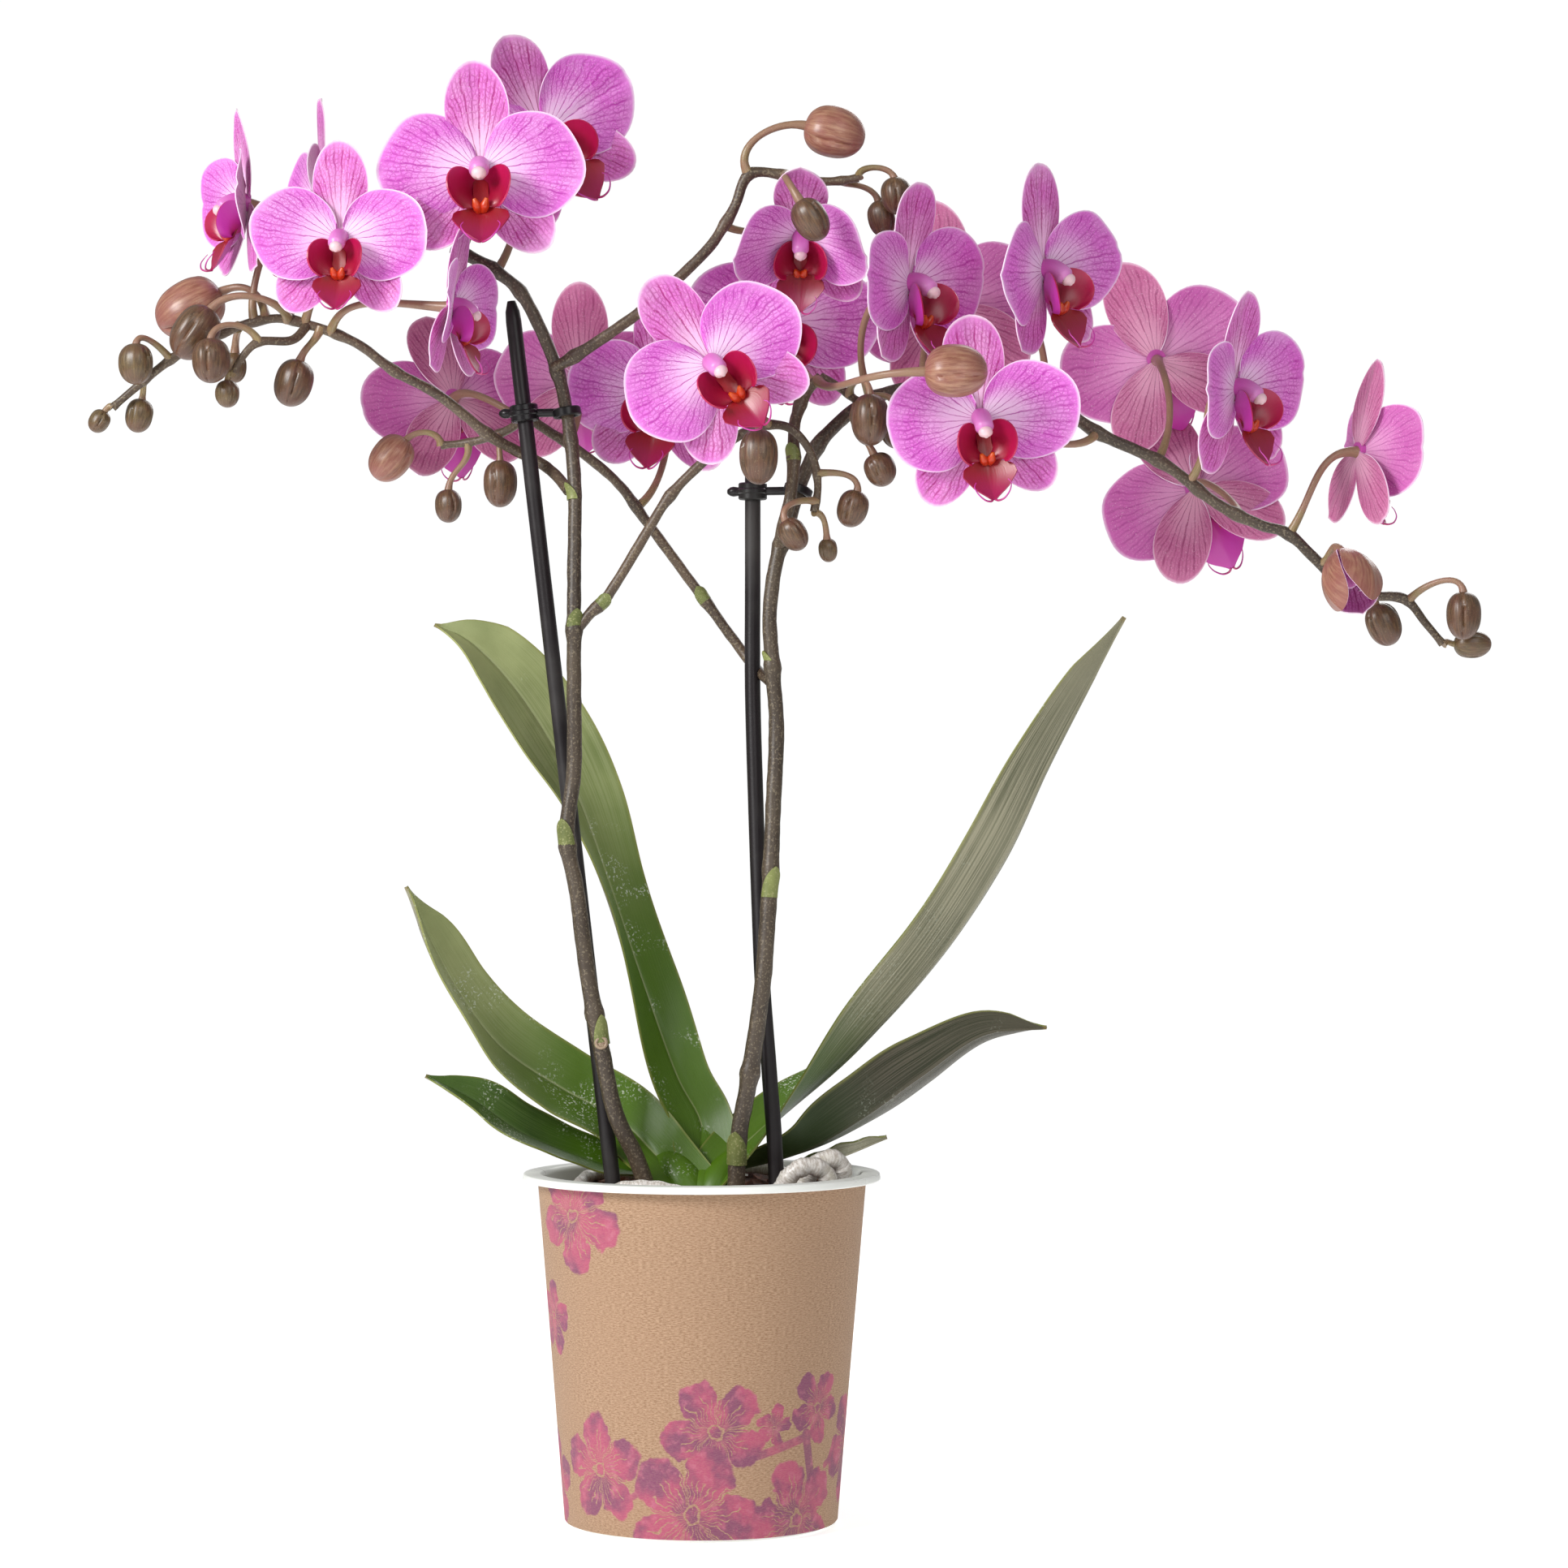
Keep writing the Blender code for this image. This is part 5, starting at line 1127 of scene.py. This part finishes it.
# %% Tepals
def tepal(length, narrow, spread, tilt, curl, cup, ruffle, seed, rows=18, columns=41):
    """Grid in the tepal's own directions (across, outwards, forwards), its map and its thickness."""
    u = np.linspace(-1, 1, columns)[None]
    rho = np.linspace(0, 1, rows)[:, None]
    phi = math.radians(spread) * u
    reach = length * np.cos(phi) ** narrow * (1 + 0.025 * np.sin(3 * phi + seed) + 0.012 * np.sin(9 * phi + 2 * seed))
    across = rho * reach * np.sin(phi) + 1.6 * u * (1 - rho)
    out = 1.2 + rho * reach * np.cos(phi)
    share = np.clip(out / length, 0, 1.1)
    height = cup * (across / length) ** 2 * length + ruffle * rho ** 3 * np.sin(5.5 * phi + seed) * (0.4 + np.abs(np.sin(phi)))
    height = height - 0.7 * np.exp(-(across / (0.05 * length)) ** 2) * share + 0.25 * np.sin(9 * phi + seed) * rho ** 2
    start, bend = math.radians(tilt), math.radians(curl) + 1e-6
    angle = start + bend * share
    run = length / bend * (np.sin(angle) - math.sin(start))
    rise = length / bend * (math.cos(start) - np.cos(angle))
    grid = np.stack(np.broadcast_arrays(across, run - height * np.sin(angle), rise + height * np.cos(angle)), -1)
    chart = np.stack(np.broadcast_arrays((u + 1) / 2, rho), -1)
    thickness = 0.28 + 0.42 * (1 - rho) * np.ones_like(u)
    return grid, chart, thickness


def add_tepal(body, turn, setback, size, grid, chart, thickness, face_slot, back_slot):
    """Turns a tepal to its place in the flower (right, up, forward) and adds it."""
    a = math.radians(turn)
    outward, across = np.array([math.sin(a), math.cos(a), 0.0]), np.array([math.cos(a), -math.sin(a), 0.0])
    placed = (grid[..., :1] * across + grid[..., 1:2] * outward + (grid[..., 2:] - setback) * np.array([0, 0, 1.0])) * size
    body.add(*sheet(placed, thickness, chart, np.array([0.0, 0.0, 1.0]), face_slot, back_slot))


# %% [markdown]
# The lip has two side lobes that stand up like shells beside the column, a spade-shaped front lobe that ends in
# two curling whiskers, and a small orange callus between them. The column is a short curved rod with a pale cap.

# %% Lip and column
def lobe(origin, along, across, out, length, narrow, spread, bow, seed):
    """A shell-shaped fan from an origin: bow is how far its middle bulges outwards."""
    along, across, out = (unit(np.array(v, dtype=float)) for v in (along, across, out))
    u = np.linspace(-1, 1, 21)[None]
    rho = np.linspace(0, 1, 13)[:, None]
    phi = math.radians(spread) * u
    reach = length * np.cos(phi) ** narrow
    grid_across = rho * reach * np.sin(phi) + 0.9 * u * (1 - rho)
    grid_along = rho * reach * np.cos(phi)
    bulge = bow * np.sin(math.pi * rho ** 0.9 * 0.86) + 0.15 * np.sin(4 * phi + seed) * rho ** 2
    grid = np.array(origin) + grid_across[..., None] * across + grid_along[..., None] * along + bulge[..., None] * out
    chart = np.stack(np.broadcast_arrays((u + 1) / 2, rho), -1)
    return grid, chart


def front_lobe():
    """A claw that widens into a spade, folded up along its middle, with its tip turned down a little."""
    t = np.linspace(-1, 1, 19)[None]
    s = np.linspace(0, 1, 24)[:, None]
    half = np.interp(s, [0, 0.2, 0.42, 0.54, 0.66, 0.84, 0.94, 1.0], [2.2, 2.2, 3.0, 7.8, 8.3, 5.0, 2.0, 0.7])
    across = half * t
    angle = np.radians(-74 + 34 * s ** 2)
    run = np.cumsum(np.cos(angle)) 
    drop = np.cumsum(np.sin(angle)) 
    fold = 0.16 * np.abs(across) ** 1.3 * np.clip(s * 3, 0.2, 1)
    grid = np.stack(np.broadcast_arrays(across, -2.0 + drop[:, None] + 0.6 * fold, 0.6 + run[:, None] + fold), -1)
    chart = np.stack(np.broadcast_arrays((t + 1) / 2, s), -1)
    return grid, chart


def add_lip(body, size):
    up = np.array([0.0, 1.0, 0.3])
    for side in (-1, 1):
        grid, chart = lobe((side * 1.2, -11.2, 4.6), (side * 0.42, 0.84, 0.34), (side * 0.5, -0.45, 0.74), (side * 0.75, 0.0, -0.65),
                           12.8, 0.7, 74, 2.2, side)
        body.add(*sheet(grid * size, 0.45, chart, np.array([-side, 0.0, 0.0]), 4, 5))
    grid, chart = front_lobe()
    body.add(*sheet(grid * size, 0.5, chart, up, 6, 5))
    tip = grid[-1].mean(0)
    for side in (-1, 1):
        whisker = smooth_path([tip + (side * 0.3, 0, -0.4), tip + (side * 1.2, -0.2, 1.4), tip + (side * 3.0, 0.6, 2.6),
                               tip + (side * 4.8, 2.6, 2.4), tip + (side * 5.6, 4.6, 1.0), tip + (side * 4.9, 5.8, 0.0)], 0.45)
        body.add(*tube(whisker * size, np.linspace(0.38, 0.12, len(whisker)) * size, 8), 5)
    for side in (-1, 1):
        knob = np.array([(side * 0.7, -12.4, 4.4), (side * 1.0, -11.7, 5.6), (side * 1.4, -10.6, 6.4), (side * 1.8, -9.4, 6.9)])
        body.add(*tube(smooth_path(knob, 0.3) * size, np.interp(np.linspace(0, 1, len(smooth_path(knob, 0.3))),
                                                                 [0, 0.5, 1], [1.3, 1.4, 0.5]) * size, 12), 8)


def add_column(body, size):
    line = smooth_path([(0, 0.4, -1.5), (0, 0.8, 1.2), (0, 0.6, 3.8), (0, -0.8, 6.6), (0, -2.6, 8.6)], 0.4)
    share = np.linspace(0, 1, len(line))
    body.add(*tube(line * size, np.interp(share, [0, 0.25, 0.6, 0.85, 1], [3.0, 3.0, 2.9, 2.9, 1.8]) * size, 20), 2)
    cap = smooth_path([(0, -1.5, 7.9), (0, -2.6, 8.8), (0, -3.6, 9.4), (0, -4.3, 9.6)], 0.25)
    share = np.linspace(0, 1, len(cap))
    body.add(*tube(cap * size, 2.2 * np.sqrt(np.clip(1 - (share * 1.9 - 0.8) ** 2, 0.03, 1)) * size, 18), 3)


# %% [markdown]
# Each flower hangs on its own stalk, which leaves the stem square to it and arrives at the flower's back. The
# table gives each flower's middle, the way it faces, its roll, its size and its foot on the stem, and a few
# flowers that are still opening have petals that reach forwards.

# %% Flowers in place
# middle mm, azimuth (0 faces the front, 90 faces +X), elevation, roll, size, stem, foot mm, how far the petals reach forwards
FLOWERS = {
    "flower_left_end": ((-133, -12, 386), -70, 0, 0, 0.86, "left_arm", (-130, -8, 352), 12),
    "flower_left_front": ((-103, -34, 373), -5, -5, 0, 0.86, "left_arm", (-116, -8, 352), 4),
    "flower_left_back": ((-114, 18, 390), -78, 0, 5, 0.95, "left_arm", (-120, -8, 353), 8),
    "flower_left_inner": ((-71, -30, 354), 75, -5, 0, 0.8, "left_arm", (-108, -7, 349), 10),
    "flower_crown_front": ((-63, -32, 393), 0, 5, -3, 1.0, "spike_left", (-70, -6, 373), 0),
    "flower_crown_back": ((-46, 4, 409), 28, 0, -30, 1.0, "spike_left", (-60, -6, 367), 4),
    "flower_low_left_turned": ((-76, 40, 333), -160, -20, 10, 0.92, "cross_branch_left", (-51, 9, 325), 4),
    "flower_mid_left_turned": ((-37, 36, 338), 175, 5, 0, 0.92, "cross_branch_left", (-40, 9, 318), 6),
    "flower_centre_left": ((-13, 13, 333), -14, -10, 5, 0.92, "cross_branch_left", (-20, 9, 299), 4),
    "flower_centre_front": ((4, -36, 337), 5, -5, -38, 0.95, "upright_branch", (29, -8, 329), 2),
    "flower_centre_back": ((23, 22, 355), 12, -12, 0, 1.0, "upright_branch", (33, -7, 334), 2),
    "flower_top_hanging": ((29, -8, 377), 0, -35, 0, 0.85, "top_branch", (7, -9, 380), 30),
    "flower_right_first": ((61, -16, 362), 50, -3, -5, 0.95, "spike_right", (50, 2, 330), 8),
    "flower_right_turned_first": ((74, 36, 361), 165, 0, 10, 1.0, "spike_right", (66, 3, 334), 2),
    "flower_right_second": ((100, -16, 366), 50, -5, -12, 0.95, "spike_right", (99, 0, 331), 8),
    "flower_right_low": ((81, -26, 322), 5, -12, -8, 0.95, "spike_right", (116, -4, 320), 6),
    "flower_right_turned_second": ((136, 28, 344), 178, 5, 22, 0.98, "spike_right", (134, -5, 312), 2),
    "flower_right_third": ((155, -22, 331), 52, -5, -8, 0.92, "spike_right", (143, -5, 305), 10),
    "flower_right_turned_low": ((148, 32, 305), 172, -20, 28, 1.0, "spike_right", (157, -6, 296), 4),
    "flower_right_end": ((193, -6, 314), 112, -5, -5, 0.86, "spike_right", (172, -6, 290), 12),
}
FLOWER_FINISHES = [PETAL_FACE, PETAL_BACK, COLUMN, ANTHER_CAP, LIP_INNER, LIP_OUTER, LIP_FRONT, SEPAL_BACK, CALLUS,
                   SEPAL_FACE, STALK]


def facing(azimuth, elevation, roll):
    """Rows right, up and forward of a flower that looks along azimuth and elevation, turned by roll."""
    a, e, r = (math.radians(v) for v in (azimuth, elevation, roll))
    forward = np.array([math.sin(a) * math.cos(e), -math.cos(a) * math.cos(e), math.sin(e)])
    up = unit(np.array([0.0, 0.0, 1.0]) - forward * forward[2])
    right = np.cross(up, forward)
    return np.array([right * math.cos(r) - up * math.sin(r), up * math.cos(r) + right * math.sin(r), forward])


def arch(start, leave, end, arrive, pieces=26):
    """A cubic curve that leaves start along leave and reaches end travelling along arrive."""
    reach = 0.45 * np.linalg.norm(end - start)
    t = np.linspace(0, 1, pieces)[:, None]
    s = 1 - t
    return (start * s ** 3 + (start + leave * reach) * 3 * s * s * t + (end - arrive * reach) * 3 * s * t * t + end * t ** 3)


def stem_foot(path, near, toward):
    """A point on a stem's centre line and the way to leave it, square to the stem."""
    index = int(np.argmin(np.linalg.norm(path - np.array(near), axis=1)))
    along = unit(path[min(index + 1, len(path) - 1)] - path[max(index - 1, 0)])
    way = np.array(toward) - path[index]
    way = unit(way - along * way.dot(along))
    return path[index], way


def add_flower(body, row, seed):
    middle, azimuth, elevation, roll, size, stem, foot, forwards = row
    middle = np.array(middle, dtype=float)
    axes = facing(azimuth, elevation, roll)
    shift = 2.0 * math.sin(seed * 2.1)
    for turn, back in ((0, 1.3), (139 + shift, 1.5), (-139 + shift, 1.5)):
        long = 31.0 if turn == 0 else 28.5
        grid, chart, thick = tepal(long, 3.5, 64, 2 + forwards * 0.25, 6 - 10 * math.sin(seed + turn), 0.12, 0.5, seed + turn)
        add_tepal(body, turn, back, size, grid, chart, thick, 9, 7)
    for side in (-1, 1):
        grid, chart, thick = tepal(29.0, 0.82, 82, 8 + forwards, 2 + forwards * 0.6 - 12, -0.05, 1.0, seed * 1.3 + side)
        add_tepal(body, side * 84 + shift * 0.5, 0.3, size, grid, chart, thick, 0, 1)
    add_lip(body, size)
    add_column(body, size)
    for block in range(len(body.points)):
        body.points[block] = body.points[block] @ axes + middle
    back_of = middle - axes[2] * 1.0 * size
    start, leave = stem_foot(stem_paths[stem], foot, middle - axes[2] * 14)
    line = arch(start, leave, back_of, axes[2])
    share = np.linspace(0, 1, len(line))
    body.add(*tube(line, np.interp(share, [0, 0.08, 0.25, 0.75, 0.95, 1], [1.5, 1.25, 1.0, 1.1, 1.5, 1.9]), 14), 10)


for seed, (name, row) in enumerate(FLOWERS.items()):
    body = Body(name + "_bloom", FLOWER_FINISHES)
    add_flower(body, row, seed)
    bloom = body.piece(name, sharp=60)
print("flowers:", len(FLOWERS), "of", len(bloom.data.polygons), "faces each")

# %% [markdown]
# ## Buds
# A bud is an egg of three closed sepals: rings of points along its axis, with three seams pressed in and a
# fuller base. Its stalk arches out of the stem and droops. Small buds at the tip of a branch share a twig.

# %% Buds and sprays
def bud_rings(middle, tip, length, width, seed):
    tip = unit(np.array(tip, dtype=float))
    side = unit(np.cross(tip, (0.13, -1.0, 0.2)))
    lift = np.cross(tip, side)
    t = (1 - np.cos(np.linspace(0.1, math.pi - 0.1, 28)))[:, None] / 2
    angles = (np.arange(48) / 48 * math.tau)[None]
    radius = width / 2 * np.sqrt(np.clip(1 - np.abs(2 * t ** 0.9 - 1) ** 2.35, 0, 1))
    seam = np.zeros_like(t * angles)
    for k in range(3):
        gap = np.mod(angles - seed - k * math.tau / 3 + 0.25 * np.sin(3 * t) + math.pi, math.tau) - math.pi
        seam = seam + np.exp(-(gap / 0.09) ** 2)
    radius = radius * (1 - 0.17 * seam + 0.03 * np.cos(3 * (angles - seed))) * (1 + 0.012 * np.sin(17 * angles))
    along = (t - 0.5) * length + 0 * angles
    rings = (np.array(middle) + along[..., None] * tip
             + (radius * np.cos(angles))[..., None] * side + (radius * np.sin(angles))[..., None] * lift)
    chart = np.stack(np.broadcast_arrays(angles / math.tau, t), -1)
    return rings, chart


def add_bud(body, middle, tip, length, width, path, foot, seed, bud_slot, stalk=0.85):
    middle, tip = np.array(middle, dtype=float), unit(np.array(tip, dtype=float))
    body.add(*skin(*bud_rings(middle, tip, length, width, seed)), bud_slot)
    base = middle - tip * (length / 2 - 0.8)
    start, leave = stem_foot(path, foot, base + (0, 0, 6))
    line = arch(start, leave, base, tip, 20)
    share = np.linspace(0, 1, len(line))
    body.add(*tube(line, np.interp(share, [0, 0.12, 0.5, 0.85, 1], [1.5, 1.1, 0.85, 0.95, 1.3]) * stalk / 0.85, 12), 3)


BUD_FINISHES = [BUD_OLIVE, BUD_ROSE, BUD_GREEN, STALK, BRANCH]
BUDS = {
    "bud_left_large": ((-151, 4, 357), (-1, 0, -0.55), 21, 17, "left_arm", (-127, -8, 353), 1),
    "bud_left_second": ((-147, -17, 348), (-0.7, 0, -1), 17, 13, "left_arm", (-121, -8, 353), 0),
    "bud_left_small": ((-138, 7, 340), (0, 0, -1), 9, 7, "left_arm", (-136, -8, 350), 2),
    "bud_left_hanging": ((-119, -10, 334), (-0.3, 0, -1), 14, 11, "left_arm", (-112, -8, 350), 0),
    "bud_top_large": ((39, -10, 407), (1, 0, -0.25), 18, 15, "top_branch", (14, -9, 396), 1),
    "bud_top_hanging": ((32, -32, 379), (0.6, 0, -1), 13, 10, "top_branch", (24, -9, 394), 0),
    "bud_centre_large": ((73, -48, 334), (1, 0, 0), 18, 15, "upright_branch", (34, -8, 336), 1),
}
for seed, (name, (middle, tip, length, width, stem, foot, slot)) in enumerate(BUDS.items()):
    body = Body(name + "_piece", BUD_FINISHES)
    add_bud(body, middle, tip, length, width, stem_paths[stem], foot, seed * 0.9, slot, 1.0)
    body.piece(name, sharp=60)

SPRAYS = {
    "spray_left_tip": (LEFT_TIP, [
        ((-164, -16, 339), (0, 0, -1), 12, 10, (-155, -8, 341), 2), ((-165, -3, 325), (-0.2, 0, -1), 10, 8, (-163, -8, 335), 2),
        ((-176, -8, 323), (-0.6, 0, -1), 7, 6, (-172, -8, 327), 2)]),
    "spray_left_side": (LEFT_SIDE, [
        ((-141, -27, 339), (0, 0, -1), 13, 11, (-128, -20, 345), 0), ((-137, -20, 330), (0, 0, -1), 8, 7, (-135, -21, 336), 2)]),
    "spray_low_left": (LOW_LEFT, [
        ((-93, 20, 314), (-0.8, 0, -1), 15, 12, (-78, 20, 318), 1), ((-60, 12, 306), (0, 0, -1), 14, 10, (-61, 15, 321), 0),
        ((-76, 22, 300), (0, 0, -1), 10, 8, (-70, 18, 319), 0)]),
    "spray_top_tip": (TOP_TIP, [
        ((57, -7, 389), (0.1, 0, -1), 11, 9, (46, -9, 394), 0), ((53, -1, 383), (0.2, 0, -1), 11, 8, (41, -9, 393), 0)]),
    "spray_centre": (CENTRE_SPRAY, [
        ((17, -31, 311), (0, 0, -1), 16, 11, (20, -19, 321), 0), ((44, -16, 297), (-0.3, 0.1, -1), 11, 9, (34, -18, 307), 0),
        ((27, -25, 289), (0.6, 0.1, -1), 10, 8, (33, -18, 299), 0), ((37, -14, 285), (0.1, 0.2, -1), 7, 5.5, (33, -18, 296), 2)]),
    "spray_upright_tip": (UPRIGHT_TIP, [
        ((49, -26, 322), (0, 0, -1), 15, 11, (43, -12, 331), 0), ((57, -13, 321), (0.1, 0, -1), 13, 10, (46, -14, 328), 0),
        ((52, -20, 308), (0.4, 0, -1), 10, 9, (46, -14, 327), 0)]),
    "spray_right_tip": (RIGHT_TIP, [
        ((201, 4, 264), (0.4, 0, -1), 13, 10, (204, -6, 271), 0), ((222, -13, 266), (0, 0, -1), 14, 10, (207, -6, 271), 0),
        ((226, -4, 258), (1, 0, 0), 11, 8, (217, -6, 258), 2)]),
}
for seed, (name, (twig, buds)) in enumerate(SPRAYS.items()):
    path = smooth_path(twig, 1.0)
    body = Body(name + "_piece", BUD_FINISHES)
    feet = [foot for *rest, foot, slot in buds]
    body.add(*tube(path, swollen_radii(path, 1.4, 1.05, feet, 0.25, 1.6), 14), 4)
    for number, (middle, tip, length, width, foot, slot) in enumerate(buds):
        add_bud(body, middle, tip, length, width, path, foot, seed + number * 1.3, slot)
    body.piece(name, sharp=60)
print("buds:", len(BUDS), "alone and", sum(len(buds) for twig, buds in SPRAYS.values()), "on sprays")

# %% [markdown]
# The last flower towards the right tip is just opening: its sepals still stand round it like an egg with gaps.
# It is made of the same tepals, bent hard inwards.

# %% Opening bud
body = Body("bud_right_opening_piece", [*FLOWER_FINISHES[:7], BUD_ROSE, *FLOWER_FINISHES[8:]])
axes = facing(35, -62, 10)
for turn, long, slots in ((0, 22, (9, 7)), (120, 22, (9, 7)), (-120, 22, (9, 7)), (60, 19, (0, 1)), (-60, 19, (0, 1))):
    inner = slots == (0, 1)
    grid, chart, thick = tepal(long, 2.2, 64, 18, 118 if inner else 112, 0.9, 0.3, turn)
    add_tepal(body, turn, 0.0, 0.82 if inner else 1.0, grid, chart, thick, *slots)
middle = np.array((188.0, -18.0, 277.0)) - axes[2] * 9
for block in range(len(body.points)):
    body.points[block] = body.points[block] @ axes + middle
start, leave = stem_foot(stem_paths["spike_right"], (182, -6, 281), middle + (0, 0, 6))
line = arch(start, leave, middle + axes[2] * 0.6, axes[2])
body.add(*tube(line, np.interp(np.linspace(0, 1, len(line)), [0, 0.2, 0.8, 1], [1.5, 1.05, 1.2, 2.0]), 14), 10)
opening = body.piece("bud_right_opening", sharp=60)
print("opening bud:", len(opening.data.polygons), "faces")

# %% Floor
floor_mesh = bpy.data.meshes.new("floor")
work = bmesh.new()
bmesh.ops.create_circle(work, cap_ends=True, segments=96, radius=1.0)
work.to_mesh(floor_mesh)
work.free()
FLOOR, floor_tree, floor_shader, floor_where = finish("pale_floor", 0.7, Emission_Strength=0.5)
floor_shader.inputs["Emission Color"].default_value = (1.0, 1.0, 1.0, 1.0)
colour_with(floor_tree, floor_shader, mix(floor_tree, mottle(floor_tree, floor_where, 3.0), linear("f6f6f5"), linear("f2f2f1")))
floor_mesh.materials.append(FLOOR)
floor = bpy.data.objects.new("floor", floor_mesh)
floor.location.z = -0.0002
bpy.context.scene.collection.objects.link(floor)
